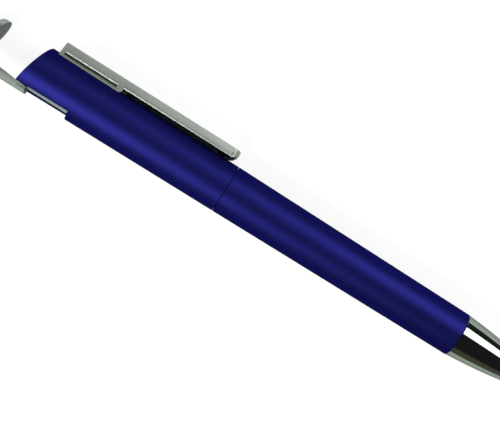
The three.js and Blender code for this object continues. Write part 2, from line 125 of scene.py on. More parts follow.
@dataclass(frozen=True)
class TubeSizes:
    """Sizes of the cap, the barrel and the nose cone, in millimetres."""

    seam_gap: float = 0.08
    edge_round: float = 0.12
    barrel_front: float = 64.32
    barrel_rear_radius: float = 5.98
    barrel_front_radius: float = 5.44
    barrel_bore: float = 4.48
    cap_end: float = -52.86
    cap_front_radius: float = 5.97
    cap_back_radius: float = 6.37
    cap_bore: float = 5.18
    end_slant: float = math.radians(15.6)
    rim_round: float = 0.25
    cut_round: float = 0.07
    notch_step: float = -40.29
    notch_half_width: float = 3.95
    nose_rear: float = 64.36
    nose_length: float = 24.84
    nose_rear_radius: float = 5.39
    nose_tip_radius: float = 1.6
    nose_tip_bore: float = 1.25
    nose_lip: float = 0.22
    nose_start_angle: float = math.radians(3.6)
    nose_collar_length: float = 8.0
    nose_collar_radius: float = 4.18
    nose_bore: float = 2.6
    nose_seat: float = 80.0

    @property
    def cap_front(self) -> float:
        """Place of the cap's edge at the seam."""
        return -self.seam_gap / 2

    @property
    def barrel_rear(self) -> float:
        """Place of the barrel's edge at the seam."""
        return self.seam_gap / 2

    @property
    def slope(self) -> float:
        """Rise of the slanted end along the pen for each millimetre towards the clip."""
        return math.tan(self.end_slant)

    @property
    def slant_normal(self) -> Vector:
        """Unit normal of the slanted planes, pointing towards the writing tip."""
        return Vector((1.0, 0.0, -self.slope)).normalized()

    def cap_radius_at(self, place: float) -> float:
        """Outside radius of the cap.

        Args:
            place: Distance along the pen from the seam.

        Returns:
            The radius there.
        """
        share = (place - self.cap_front) / (self.cap_end - self.cap_front)
        return self.cap_front_radius + (self.cap_back_radius - self.cap_front_radius) * share


@dataclass(frozen=True)
class ClipSizes:
    """Sizes of the clip, in millimetres. Heights are counted from the pen's axis."""

    back: float = -48.89
    front: float = -1.33
    foot_front: float = -32.28
    top: float = 8.88
    half_width: float = 3.35
    underside: float = 6.44
    back_lean: float = 0.3
    foot_round: float = 1.1
    seat_gap: float = 0.04
    wall: float = 0.8
    web_half_width: float = 2.3
    flange_top: float = 5.75
    plan_corner: float = 2.0
    nose_length: float = 2.7
    nose_height: float = 1.9
    top_round: float = 0.45
    edge_round: float = 0.12
    low_edge_round: float = 0.65
    edge_clear: float = 0.3
    side_lean: float = 0.06
    hollow_wall: float = 0.75
    hollow_front: float = -7.6
    tenon_half_width: float = 1.2
    tenon_inset: float = 3.2
    tenon_low: float = 5.33
    tenon_play: float = 0.1
    pip_place: float = -5.0
    pip_size: Triple = (1.2, 0.8, 0.6)
    pip_gap: float = 0.04
    bend_behind: float = 0.5
    bend_ahead: float = 3.0
    least_edge: float = 0.03

    @property
    def bend_start(self) -> float:
        """Place where the clip's arm starts to bend."""
        return self.foot_front - self.bend_behind

    @property
    def bend_end(self) -> float:
        """Place from which the clip's arm stays straight."""
        return self.foot_front + self.bend_ahead


@dataclass(frozen=True)
class StandSizes:
    """Sizes of the pulled-out phone stand and its stylus, in millimetres."""

    bar_end: float = -51.4
    head_inner: float = -64.28
    head_thickness: float = 1.86
    radius: float = 6.25
    bar_half_width: float = 3.88
    bar_inner_offset: float = 5.17
    bar_root_offset: float = 4.08
    fillet: float = 3.2
    tail_end: float = -34.3
    tail_radius: float = 4.88
    tail_inner: float = 4.23
    tail_half_width: float = 3.3
    tail_root: float = 2.1
    tail_root_depth: float = 0.65
    root_step: float = 0.02
    outer_round: float = 0.75
    boss_radius: float = 2.0
    boss_rear: float = -69.5
    collar_gap: float = 0.06
    collar_rear: float = -67.61
    collar_radius: float = 3.9
    collar_round: float = 0.25
    dome_base: float = -67.91
    dome_radius: float = 3.5
    dome_length: float = 4.1
    dome_bore: float = 2.3
    dome_edge: float = 0.15
    guide_recess: float = 1.3
    guide_play: float = 0.02
    channel_gap: float = 0.3
    fine_round: float = 0.08
    least_edge: float = 0.003
    head_stock: float = 6.0
    tool_reach: float = 9.0
    tool_overrun: float = 3.0

    @property
    def head_outer(self) -> float:
        """Place of the middle of the head's outer face."""
        return self.head_inner - self.head_thickness


@dataclass(frozen=True)
class RefillSizes:
    """Sizes of the refill's tip and of its spring, in millimetres, with the tip drawn in."""

    spigot_rear: float = 70.0
    spigot_radius: float = 0.8
    shoulder_rear: float = 73.3
    shoulder_radius: float = 1.5
    shoulder_length: float = 0.6
    neck_rear: float = 75.2
    neck_radius: float = 1.0
    groove_place: float = 83.4
    groove_depth: float = 0.12
    cone_rear: float = 85.7
    cone_bow: Pair = (0.4, 0.7)
    cone_radius: float = 0.92
    lip_front: float = 87.6
    lip_radius: float = 0.58
    lip_round: Pair = (0.12, 0.08)
    lip_step: float = 0.02
    ball_centre: float = 87.5
    ball_radius: float = 0.5
    socket_play: float = 0.03
    socket_depth: float = 0.1
    spring_rear: float = 61.3
    spring_front: float = 79.7
    spring_radius: float = 2.0
    wire_radius: float = 0.19
    curls: int = 14
    curl_steps: int = 40
    travel: float = 4.5

    @property
    def spring_keep(self) -> float:
        """Share of its length that the spring keeps when the tip is out."""
        length = self.spring_front - self.spring_rear
        return (length - self.travel) / length


# Where the pen lies

@dataclass(frozen=True)
class PenFrame:
    """The pen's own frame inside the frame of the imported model.

    Attributes:
        seam: Point of the axis at the seam, in metres.
        along: Unit vector towards the writing tip.
        clip_way: Unit vector from the axis towards the clip.
    """

    seam: Vector
    along: Vector
    clip_way: Vector

    @classmethod
    def from_joints(cls, joints: list[dict]) -> "PenFrame":
        """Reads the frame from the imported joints.

        Args:
            joints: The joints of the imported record.

        Returns:
            The pen's frame: the cap turns about its axis, and the clip bends about its side way.
        """
        found = {joint["name"]: joint for joint in joints}
        along = Vector(found["cap_twist"]["axis"])
        side = -Vector(found["clip_flex"]["axis"])
        return cls(Vector(found["cap_twist"]["pos_m"]), along, along.cross(side).normalized())

    @property
    def matrix(self) -> Matrix:
        """Matrix from millimetres in the pen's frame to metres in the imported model's frame.

        Returns:
            The matrix.
        """
        side = self.clip_way.cross(self.along)
        turn = Matrix((self.along, side, self.clip_way)).transposed().to_4x4()
        return Matrix.Translation(self.seam) @ turn @ Matrix.Scale(MM, 4)

    def point(self, place: float, side: float = 0.0, height: float = 0.0) -> Vector:
        """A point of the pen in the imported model's frame.

        Args:
            place: Distance along the pen from the seam, in millimetres.
            side: Distance to the side of the clip's middle plane.
            height: Distance from the axis towards the clip.

        Returns:
            The point, in metres.
        """
        return self.matrix @ Vector((place, side, height))


# Hand tools

def deselect_all() -> None:
    """Leaves no object selected, so that an operator meets only the new piece."""
    if bpy.context.object and bpy.context.object.mode != "OBJECT":
        bpy.ops.object.mode_set(mode="OBJECT")
    bpy.ops.object.select_all(action="DESELECT")


def take(piece: bpy.types.Object) -> None:
    """Makes one object the only selected and active one.

    Args:
        piece: The object.
    """
    deselect_all()
    piece.select_set(True)
    bpy.context.view_layer.objects.active = piece


def named(name: str) -> bpy.types.Object:
    """Names the primitive that was just added, and puts its place into its mesh.

    Args:
        name: The new name.

    Returns:
        The object.
    """
    piece = bpy.context.object
    piece.name = name
    piece.data.name = name
    bpy.ops.object.transform_apply(location=True, rotation=True, scale=True)
    return piece


def edit(piece: bpy.types.Object, select: str = "SELECT") -> None:
    """Opens one object in edit mode.

    Args:
        piece: The object.
        select: What is selected at first, as select_all's action.
    """
    take(piece)
    bpy.ops.object.mode_set(mode="EDIT")
    bpy.ops.mesh.select_mode(type="VERT")
    bpy.ops.mesh.select_all(action=select)


def leave_edit() -> None:
    """Goes back to object mode."""
    bpy.ops.object.mode_set(mode="OBJECT")


def select_edges(piece: bpy.types.Object, test: EdgeTest) -> None:
    """Opens a piece in edit mode with the edges that pass a test selected.

    Args:
        piece: The object.
        test: Says of an edge's two ends whether the edge is wanted.
    """
    edit(piece, "DESELECT")
    bpy.ops.mesh.select_mode(type="EDGE")
    leave_edit()
    points = [vertex.co for vertex in piece.data.vertices]
    for edge in piece.data.edges:
        edge.select = test(points[edge.vertices[0]], points[edge.vertices[1]])
    bpy.ops.object.mode_set(mode="EDIT")


def close_up(piece: bpy.types.Object, reach: float = SAME_PLACE) -> None:
    """Merges doubled vertices and turns every face outwards.

    Args:
        piece: The object.
        reach: How far apart vertices may lie to be merged. Above SAME_PLACE it also takes slivers away.
    """
    edit(piece)
    bpy.ops.mesh.remove_doubles(threshold=reach)
    bpy.ops.mesh.normals_make_consistent(inside=False)
    leave_edit()


def put_in_order(piece: bpy.types.Object) -> None:
    """Sorts a piece's vertices and faces by their places.

    A plane cut or a boolean leaves them in another order in each run, and the next step goes by that
    order.

    Args:
        piece: The object.
    """
    mesh = piece.data
    places = [tuple(vertex.co) for vertex in mesh.vertices]
    order = sorted(range(len(places)), key=places.__getitem__)
    rank = {old: new for new, old in enumerate(order)}
    faces = []
    for face in mesh.polygons:
        corners = [rank[corner] for corner in face.vertices]
        first = corners.index(min(corners))
        faces.append(corners[first:] + corners[:first])
    mesh.clear_geometry()
    mesh.from_pydata([places[old] for old in order], [], sorted(faces))


def turned(
    name: str, profile: Profile, facets: int = FINE_FACETS, ends_open: bool = False,
) -> bpy.types.Object:
    """Turns a piece about the pen's axis, ring by ring: each ring is extruded, moved and resized.

    Args:
        name: Name of the piece.
        profile: Places and radii in order. A radius of 0 is allowed at either end.
        facets: Number of sides.
        ends_open: Leaves both ends of the profile open instead of joining the last ring to the first.

    Returns:
        The piece.
    """
    start_pole = profile[0] if profile[0][1] == 0 else None
    end_pole = profile[-1] if profile[-1][1] == 0 else None
    rings = [ring for ring in profile if ring[1] > 0]
    place, radius = rings[0]
    deselect_all()
    bpy.ops.mesh.primitive_circle_add(
        vertices=facets, radius=radius, location=(place, 0, 0), rotation=(0, math.pi / 2, 0)
    )
    piece = named(name)
    edit(piece)
    if not (start_pole or end_pole or ends_open):
        rings = rings + rings[:1]
    for next_place, next_radius in rings[1:]:
        bpy.ops.mesh.extrude_region()
        bpy.ops.transform.translate(value=(next_place - place, 0, 0))
        share = next_radius / radius
        bpy.ops.transform.resize(value=(1, share, share), center_override=(next_place, 0, 0))
        place, radius = next_place, next_radius
    for pole, ring in ((end_pole, rings[-1]), (start_pole, rings[0])):
        if pole is None:
            continue
        select_edges(piece, lambda a, b, ring=ring: all(
            abs(p.x - ring[0]) < SAME_PLACE and abs(math.hypot(p.y, p.z) - ring[1]) < NEAR for p in (a, b)
        ))
        bpy.ops.mesh.extrude_region()
        bpy.ops.mesh.merge(type="CENTER")
        bpy.ops.transform.translate(value=(pole[0] - ring[0], 0, 0))
    close_up(piece)
    return piece


def arc(centre: Pair, size: Pair, start: float, end: float, steps: int) -> Profile:
    """Points of a stretch of a circle or an ellipse.

    Args:
        centre: Its centre.
        size: Its two half widths.
        start: Its first angle, in degrees from the first axis.
        end: Its last angle.
        steps: Steps between them.

    Returns:
        The points in order.
    """
    angles = [math.radians(start + (end - start) * step / steps) for step in range(steps + 1)]
    return [(centre[0] + size[0] * math.cos(a), centre[1] + size[1] * math.sin(a)) for a in angles]


def round_arc(centre: Pair, radius: float, start: float, end: float, steps: int) -> Profile:
    """Points of a stretch of a circle, from its start to its end in degrees."""
    return arc(centre, (radius, radius), start, end, steps)


def bow(start: Pair, corner: Pair, end: Pair, steps: int) -> Profile:
    """Points of a curve that leaves its start towards a corner and reaches its end from there.

    Args:
        start: Its first point.
        corner: The corner that it rounds.
        end: Its last point.
        steps: Steps between them.

    Returns:
        The points in order.
    """
    shares = [step / steps for step in range(steps + 1)]
    return [
        tuple((1 - s) ** 2 * a + 2 * s * (1 - s) * b + s**2 * c for a, b, c in zip(start, corner, end))
        for s in shares
    ]


class Way(Enum):
    """The way in which a slab is thick. Its outline lies square to that way."""

    ALONG = "X"
    SIDEWAYS = "Y"
    UPWARDS = "Z"

    def point(self, first: float, second: float, depth: float) -> Vector:
        """Turns a point of the outline and a depth into a place.

        Args:
            first: The point's first coordinate.
            second: Its second coordinate.
            depth: Its place in the thickness of the slab.

        Returns:
            The place.
        """
        if self is Way.ALONG:
            return Vector((depth, first, second))
        return Vector((first, depth, second)) if self is Way.SIDEWAYS else Vector((first, second, depth))


def slab(
    name: str, outline: Profile, low: float, high: float, way: Way = Way.SIDEWAYS,
) -> bpy.types.Object:
    """Draws an outline point by point, fills it, and extrudes it.

    Args:
        name: Name of the piece.
        outline: Its points in order: places along the pen, and heights or sides.
        low: Where the slab starts.
        high: Where it ends.
        way: The way in which it is thick.

    Returns:
        The piece.
    """
    deselect_all()
    bpy.ops.mesh.primitive_plane_add(size=1)
    piece = named(name)
    edit(piece)
    bpy.ops.mesh.merge(type="CENTER")
    bpy.ops.transform.translate(value=way.point(*outline[0], low))
    for here, there in zip(outline, outline[1:] + outline[:1]):
        bpy.ops.mesh.extrude_region()
        bpy.ops.transform.translate(value=way.point(there[0] - here[0], there[1] - here[1], 0))
    bpy.ops.mesh.select_all(action="SELECT")
    bpy.ops.mesh.remove_doubles(threshold=SAME_PLACE)
    bpy.ops.mesh.edge_face_add()
    bpy.ops.mesh.extrude_region()
    bpy.ops.transform.translate(value=way.point(0, 0, high - low))
    leave_edit()
    close_up(piece)
    return piece


def block(name: str, low: Triple, high: Triple) -> bpy.types.Object:
    """Adds a block between two corners.

    Args:
        name: Name of the piece.
        low: Its lowest corner.
        high: Its highest corner.

    Returns:
        The block.
    """
    centre = [(a + b) / 2 for a, b in zip(low, high)]
    deselect_all()
    bpy.ops.mesh.primitive_cube_add(size=1, location=centre, scale=[b - a for a, b in zip(low, high)])
    return named(name)


def rod(name: str, rear: float, front: float, radius: float, facets: int = FINE_FACETS) -> bpy.types.Object:
    """Adds a plain round rod along the pen.

    Args:
        name: Name of the piece.
        rear: Place of its rear end.
        front: Place of its front end.
        radius: Its radius.
        facets: Number of sides.

    Returns:
        The rod.
    """
    deselect_all()
    bpy.ops.mesh.primitive_cylinder_add(
        vertices=facets, radius=radius, depth=front - rear,
        location=((rear + front) / 2, 0, 0), rotation=(0, math.pi / 2, 0),
    )
    return named(name)


def slice_at(piece: bpy.types.Object, point: Vector, normal: Vector) -> None:
    """Adds an edge loop where a plane crosses the piece.

    Args:
        piece: The object.
        point: A point of the plane.
        normal: The plane's normal.
    """
    edit(piece)
    bpy.ops.mesh.bisect(plane_co=point, plane_no=normal)
    leave_edit()
    put_in_order(piece)


def cut_off(piece: bpy.types.Object, point: Vector, normal: Vector, fill: bool = True) -> None:
    """Takes away what lies behind a plane.

    Args:
        piece: The object.
        point: A point of the plane.
        normal: The plane's normal, towards what stays.
        fill: Closes the cut with a face.
    """
    edit(piece)
    bpy.ops.mesh.bisect(plane_co=point, plane_no=normal, use_fill=fill, clear_inner=True)
    leave_edit()
    put_in_order(piece)


def side_span(side: int, inner: float, outer: float) -> Pair:
    """Gives the lowest and highest place across the pen of a stretch on its side 1 or -1."""
    low, high = sorted((side * inner, side * outer))
    return low, high


def on_plane(point: Vector, normal: Vector) -> EdgeTest:
    """Makes the test of whether an edge lies on a plane.

    Args:
        point: A point of the plane.
        normal: The plane's normal.

    Returns:
        The test.
    """
    return lambda a, b: all(abs((end - point).dot(normal)) < NEAR for end in (a, b))


def apply_modifier(piece: bpy.types.Object, kind: str, **settings: object) -> None:
    """Adds a modifier to a piece, sets it and applies it.

    Args:
        piece: The object.
        kind: Type name of the modifier.
        **settings: Its settings.
    """
    take(piece)
    modifier = piece.modifiers.new(kind.lower(), kind)
    for name, value in settings.items():
        setattr(modifier, name, value)
    bpy.ops.object.modifier_apply(modifier=modifier.name)


class Join(Enum):
    """How two solids are put together."""

    ADD = "UNION"
    CUT = "DIFFERENCE"
    SHARE = "INTERSECT"


def combine(piece: bpy.types.Object, other: bpy.types.Object, how: Join) -> None:
    """Joins, cuts or intersects a piece with another, which is used up.

    Args:
        piece: The object that stays.
        other: The object that is used up.
        how: The way they are put together.
    """
    apply_modifier(piece, "BOOLEAN", operation=how.value, solver="EXACT", object=other)
    bpy.data.objects.remove(other, do_unlink=True)
    put_in_order(piece)


def round_edges(piece: bpy.types.Object, width: float, segments: int = 3, angle: float = 35.0) -> None:
    """Rounds every edge that is sharper than an angle, and leaves no empty faces where roundings meet.

    Args:
        piece: The object.
        width: Width of the rounding.
        segments: Steps across it.
        angle: The least angle between faces, in degrees.
    """
    apply_modifier(
        piece, "BEVEL", width=width, segments=segments, limit_method="ANGLE",
        angle_limit=math.radians(angle), use_clamp_overlap=True, miter_outer="MITER_ARC",
    )
    close_up(piece)


def bevel_edges(piece: bpy.types.Object, test: EdgeTest, width: float, segments: int) -> None:
    """Rounds the edges that pass a test.

    Args:
        piece: The object.
        test: Says of an edge's two ends whether the edge is wanted.
        width: Width of the rounding.
        segments: Steps across it.
    """
    select_edges(piece, test)
    bpy.ops.mesh.bevel(offset=width, segments=segments, affect="EDGES", clamp_overlap=True)
    leave_edit()


def smooth(piece: bpy.types.Object, angle: float = 32.0) -> None:
    """Shades a piece smooth, with sharp edges where its faces meet at more than an angle.

    The large faces keep their own normals, so that only the roundings beside them look round.

    Args:
        piece: The object.
        angle: The angle, in degrees.
    """
    take(piece)
    bpy.ops.object.shade_smooth_by_angle(angle=math.radians(angle))
    apply_modifier(piece, "WEIGHTED_NORMAL", mode="FACE_AREA", weight=LARGE_FACE_WEIGHT, keep_sharp=True)


# Finishes

@dataclass(frozen=True)
class PaintedReflection:
    """Painted reflection of the blue shell: a darker plating colour painted on the faces that look towards
    it.

    Attributes:
        towards: The way that those faces look.
        start: Where it starts along X, in metres.
        colour: The painted tone there.
        turn: How squarely a face has to look that way for the painted reflection to start and to be full, as
            cosines.
        fade: Length over which it starts, in metres.
    """

    towards: Triple
    start: float
    colour: Colour
    turn: Pair = (0.6, 0.9)
    fade: float = 2 * MM


class NodeBoard:
    """Adds and joins the nodes of one material."""

    NOISE_MIDDLE = (0.3, 0.7)

    def __init__(self, name: str) -> None:
        """Starts a material with a Principled shader.

        Args:
            name: Name of the material.
        """
        self.material = bpy.data.materials.new(name)
        self.material.use_nodes = True
        self.tree = self.material.node_tree
        self.tree.nodes.clear()
        self.shader = self.add("ShaderNodeBsdfPrincipled")
        output = self.add("ShaderNodeOutputMaterial")
        self.join(self.shader.outputs["BSDF"], output.inputs["Surface"])
        coordinates = self.add("ShaderNodeTexCoord")
        self.places = coordinates.outputs["Object"]
        self.normals = coordinates.outputs["Normal"]

    def add(self, kind: str, **inputs: object) -> bpy.types.Node:
        """Adds a node and sets its sockets.

        Args:
            kind: Type name of the node.
            **inputs: Socket names, with spaces as underscores, and their values.

        Returns:
            The node.
        """
        node = self.tree.nodes.new(kind)
        for name, value in inputs.items():
            node.inputs[name.replace("_", " ")].default_value = value
        return node

    def join(self, source: bpy.types.NodeSocket, target: bpy.types.NodeSocket) -> None:
        """Links two sockets."""
        self.tree.links.new(source, target)

    def noise(
        self, size: float, stretch: Triple = (1.0, 1.0, 1.0), detail: float = 2.0,
    ) -> bpy.types.NodeSocket:
        """Noise on the piece's own coordinates.

        Args:
            size: Size of its grains, in millimetres.
            stretch: How many times longer a grain is along X, Y and Z.
            detail: Detail of the noise.

        Returns:
            The socket of its value, around a half.
        """
        mapping = self.add("ShaderNodeMapping", Scale=tuple(1.0 / s for s in stretch))
        texture = self.add("ShaderNodeTexNoise", Scale=1.0 / (size * MM), Detail=detail)
        self.join(self.places, mapping.inputs["Vector"])
        self.join(mapping.outputs["Vector"], texture.inputs["Vector"])
        return texture.outputs["Fac"]

    def ramp(
        self, value: bpy.types.NodeSocket, start: float, end: float, low: float = 0.0, high: float = 1.0,
    ) -> bpy.types.NodeSocket:
        """Maps one range of a value to another, and keeps to its ends past them.

        Args:
            value: The value.
            start: The value that gives the low result.
            end: The value that gives the high result.
            low: The low result.
            high: The high result.

        Returns:
            The socket of the result.
        """
        node = self.add("ShaderNodeMapRange", From_Min=start, From_Max=end, To_Min=low, To_Max=high)
        self.join(value, node.inputs["Value"])
        return node.outputs["Result"]

    def spread(
        self, value: bpy.types.NodeSocket, low: float = 0.0, high: float = 1.0,
    ) -> bpy.types.NodeSocket:
        """Spreads the middle of a noise over a range, from low to high."""
        return self.ramp(value, *self.NOISE_MIDDLE, low, high)

    def around(self, value: bpy.types.NodeSocket, middle: float, swing: float) -> bpy.types.NodeSocket:
        """Spreads the middle of a noise to both sides of a number, as far as the swing."""
        return self.spread(value, middle - swing, middle + swing)

    def coordinate(self, axis: str) -> bpy.types.NodeSocket:
        """Gives one of the piece's own coordinates, in metres.

        Args:
            axis: X, Y or Z.

        Returns:
            The socket of the coordinate.
        """
        split = self.add("ShaderNodeSeparateXYZ")
        self.join(self.places, split.inputs["Vector"])
        return split.outputs[axis]

    def product(
        self, first: bpy.types.NodeSocket, second: bpy.types.NodeSocket | float,
    ) -> bpy.types.NodeSocket:
        """Multiplies a value by another one or by a plain number.

        Args:
            first: The value.
            second: The other value, or the number.

        Returns:
            The socket of the product.
        """
        node = self.add("ShaderNodeMath")
        node.operation = "MULTIPLY"
        self.join(first, node.inputs[0])
        if isinstance(second, bpy.types.NodeSocket):
            self.join(second, node.inputs[1])
        else:
            node.inputs[1].default_value = second
        return node.outputs["Value"]

    def blend_colours(
        self, share: bpy.types.NodeSocket, first: Colour | bpy.types.NodeSocket, second: Colour,
    ) -> bpy.types.NodeSocket:
        """Mixes two colours.

        Args:
            share: Share of the second colour.
            first: The first colour, or the socket of one.
            second: The second colour.

        Returns:
            The socket of the colour.
        """
        mix = self.tree.nodes.new("ShaderNodeMix")
        mix.data_type = "RGBA"
        if isinstance(first, bpy.types.NodeSocket):
            self.join(first, mix.inputs["A"])
        else:
            mix.inputs["A"].default_value = (*first, 1.0)
        mix.inputs["B"].default_value = (*second, 1.0)
        self.join(share, mix.inputs["Factor"])
        return mix.outputs["Result"]

    def painted_reflection_share(self, painted_reflection: PaintedReflection) -> bpy.types.NodeSocket:
        """Finds the faces that the painted reflection of the blue shell lies on.

        Args:
            painted_reflection: The painted reflection.

        Returns:
            The socket of its share, from 0 to 1.
        """
        facing = self.add("ShaderNodeVectorMath")
        facing.operation = "DOT_PRODUCT"
        facing.inputs[1].default_value = painted_reflection.towards
        self.join(self.normals, facing.inputs[0])
        return self.product(
            self.ramp(facing.outputs["Value"], *painted_reflection.turn),
            self.ramp(self.coordinate("X"), painted_reflection.start, painted_reflection.start + painted_reflection.fade),
        )

    def bump(self, height: bpy.types.NodeSocket, depth: float, strength: float = 1.0) -> bpy.types.NodeSocket:
        """Turns a height into a bumped normal.

        Args:
            height: The height, from 0 to 1.
            depth: Depth of the bumps, in millimetres.
            strength: Strength of the effect.

        Returns:
            The socket of the normal.
        """
        node = self.add("ShaderNodeBump", Strength=strength, Distance=depth * MM)
        self.join(height, node.inputs["Height"])
        return node.outputs["Normal"]

    def set(self, **values: object) -> None:
        """Sets sockets of the shader, with spaces in their names as underscores."""
        for name, value in values.items():
            self.shader.inputs[name.replace("_", " ")].default_value = value

    def feed(self, **sockets: bpy.types.NodeSocket) -> None:
        """Links sockets into the shader, with spaces in their names as underscores."""
        for name, socket in sockets.items():
            self.join(socket, self.shader.inputs[name.replace("_", " ")])


@dataclass(frozen=True)
class MetallicLacquer:
    """Satin lacquer with fine metallic flakes under it. Its grains are measured in millimetres."""

    name: str
    deep: Colour
    bright: Colour
    metallic: float
    roughness: float
    unevenness: float = 0.008
    cloud_size: float = 9.0
    flake_size: float = 0.09
    flake_depth: float = 0.004
    flake_strength: float = 0.35
    gloss: float = 0.1
    gloss_tint: Colour = (0.05, 0.05, 0.2)

    def build(self) -> bpy.types.Material:
        """Makes the material.

        Returns:
            The material.
        """
        board = NodeBoard(self.name)
        flakes = board.noise(self.flake_size, detail=3.0)
        clouds = board.noise(self.cloud_size, (3.0, 1.0, 1.0))
        tint = (*self.gloss_tint, 1.0)
        board.set(Metallic=self.metallic, Specular_IOR_Level=self.gloss, Specular_Tint=tint)
        board.feed(
            Base_Color=board.blend_colours(board.spread(flakes), self.deep, self.bright),
            Roughness=board.around(clouds, self.roughness, self.unevenness),
            Normal=board.bump(flakes, self.flake_depth, self.flake_strength),
        )
        return board.material


@dataclass(frozen=True)
class Plating:
    """Plated metal, from satin to mirror bright.

    Attributes:
        name: Its slot in the record.
        colour: Its colour.
        metallic: Share of metal in it.
        roughness: How dull it is.
        unevenness: How much its dullness varies.
        grain: Strength of its fine streaks.
        painted_reflection: Its painted reflection of the blue shell, if it has one: a darker colour and rim
            tint on faces that look towards the shell.
        rim: Its tint where it is seen at a low angle.
        smudged: Share of its brightness that its smudges keep.
        smudge_size: Size of its smudges, in millimetres.
        streak_width: Width of its fine streaks, in millimetres.
        streak_depth: Depth of its fine streaks, in millimetres.
    """

    name: str
    colour: Colour
    metallic: float
    roughness: float
    unevenness: float
    grain: float
    painted_reflection: PaintedReflection | None = None
    rim: Colour = (0.45, 0.49, 0.46)
    smudged: float = 0.94
    smudge_size: float = 5.0
    streak_width: float = 0.12
    streak_depth: float = 0.002

    def build(self) -> bpy.types.Material:
        """Makes the material.

        Returns:
            The material.
        """
        board = NodeBoard(self.name)
        streaks = board.noise(self.streak_width, (30.0, 1.0, 1.0), 3.0)
        smudges = board.noise(self.smudge_size, (2.0, 1.0, 1.0), 4.0)
        dark = tuple(c * self.smudged for c in self.colour)
        board.set(Metallic=self.metallic, Specular_Tint=(*self.rim, 1.0))
        tone = board.blend_colours(board.spread(smudges), dark, self.colour)
        # Painted reflection of the blue shell: a darker colour and rim tint on the faces that look towards
        # it.
        if self.painted_reflection is not None:
            share = board.painted_reflection_share(self.painted_reflection)
            tone = board.blend_colours(share, tone, self.painted_reflection.colour)
            board.feed(Specular_Tint=board.blend_colours(share, self.rim, self.painted_reflection.colour))
        board.feed(
            Base_Color=tone,
            Roughness=board.around(smudges, self.roughness, self.unevenness),
            Normal=board.bump(streaks, self.streak_depth, self.grain),
        )
        return board.material


@dataclass(frozen=True)
class MouldedPlastic:
    """Plain moulded plastic with a fine eroded texture. Its grains are measured in millimetres."""

    name: str
    colour: Colour
    roughness: float
    unevenness: float = 0.06
    gloss: float = 0.45
    cloud_size: float = 4.0
    grit_size: float = 0.08
    grit_depth: float = 0.006

    def build(self) -> bpy.types.Material:
        """Makes the material.

        Returns:
            The material.
        """
        board = NodeBoard(self.name)
        grit = board.noise(self.grit_size, detail=4.0)
        clouds = board.noise(self.cloud_size)
        lighter = tuple(min(1.0, c * 1.15 + 0.004) for c in self.colour)
        board.set(Specular_IOR_Level=self.gloss)
        board.feed(
            Base_Color=board.blend_colours(board.spread(clouds), self.colour, lighter),
            Roughness=board.around(grit, self.roughness, self.unevenness),
            Normal=board.bump(grit, self.grit_depth, 0.5),
        )
        return board.material


@dataclass(frozen=True)
class SoftRubber:
    """Matte conductive rubber with a slight bloom. Its grains are measured in millimetres."""

    name: str
    colour: Colour
    bloom: Colour
    most_bloom: float = 0.6
    roughness: Pair = (0.62, 0.78)
    patch_size: float = 1.6
    grain_size: float = 0.05
    grain_depth: float = 0.008

    def build(self) -> bpy.types.Material:
        """Makes the material.

        Returns:
            The material.
        """
        board = NodeBoard(self.name)
        grain = board.noise(self.grain_size, detail=4.0)
        patches = board.noise(self.patch_size, detail=3.0)
        board.set(Specular_IOR_Level=0.3, Sheen_Weight=0.15, Sheen_Roughness=0.5)
        board.feed(
            Base_Color=board.blend_colours(
                board.spread(patches, high=self.most_bloom), self.colour, self.bloom,
            ),
            Roughness=board.spread(patches, *self.roughness),
            Normal=board.bump(grain, self.grain_depth, 0.6),
        )
        return board.material


@dataclass(frozen=True)
class TurnedMetal:
    """Bare metal with the fine rings that a lathe leaves. Its grains are measured in millimetres."""

    name: str
    colour: Colour
    roughness: float
    unevenness: float = 0.06
    most_tarnish: float = 0.8
    tarnished: float = 0.8
    tarnish_size: float = 1.5
    ring_width: float = 0.05
    ring_depth: float = 0.003

    def build(self) -> bpy.types.Material:
        """Makes the material.

        Returns:
            The material.
        """
        board = NodeBoard(self.name)
        rings = board.noise(self.ring_width, (1.0, 400.0, 400.0), 2.0)
        tarnish = board.noise(self.tarnish_size, detail=4.0)
        dull = tuple(c * self.tarnished for c in self.colour)
        board.set(Metallic=1.0)
        board.feed(
            Base_Color=board.blend_colours(board.spread(tarnish, high=self.most_tarnish), self.colour, dull),
            Roughness=board.around(rings, self.roughness, self.unevenness),
            Normal=board.bump(rings, self.ring_depth, 0.5),
        )
        return board.material


class Finish(Enum):
    """The pen's finishes. Each value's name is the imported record's material slot."""

    BLUE_SHELL = MetallicLacquer("blue_shell", (0.0115, 0.0115, 0.11), (0.0135, 0.0145, 0.14), 0.92, 0.5)
    BRIGHT_PLATING = Plating("bright_plating", (0.27, 0.31, 0.265), 1.0, 0.05, 0.015, 0.02)
    # The clip arm's underside, from its foot forwards, carries a painted reflection of the dark blue shell.
    CLIP_PLATING = Plating(
        "satin_plating", (0.405, 0.455, 0.405), 0.94, 0.42, 0.02, 0.35,
        PaintedReflection((0.0, -0.93, 0.366), -0.0409, (0.012, 0.012, 0.03)),
    )
    # The stand head's inner face carries a painted reflection of the blue shell.
    STAND_PLATING = Plating(
        "satin_plating", (0.37, 0.42, 0.375), 0.94, 0.42, 0.02, 0.35,
        PaintedReflection((0.968, -0.235, 0.092), -0.09, (0.25, 0.265, 0.265)),
    )
    BLACK_PLASTIC = MouldedPlastic("black_plastic", (0.012, 0.012, 0.014), 0.5)
    WHITE_PLASTIC = MouldedPlastic("white_plastic", (0.62, 0.64, 0.66), 0.4)
    BLACK_RUBBER = SoftRubber("black_rubber", (0.012, 0.012, 0.013), (0.03, 0.03, 0.032))
    SPRING_STEEL = TurnedMetal("spring_steel", (0.5, 0.51, 0.53), 0.22)
    BRASS = TurnedMetal("brass", (0.66, 0.47, 0.2), 0.28)


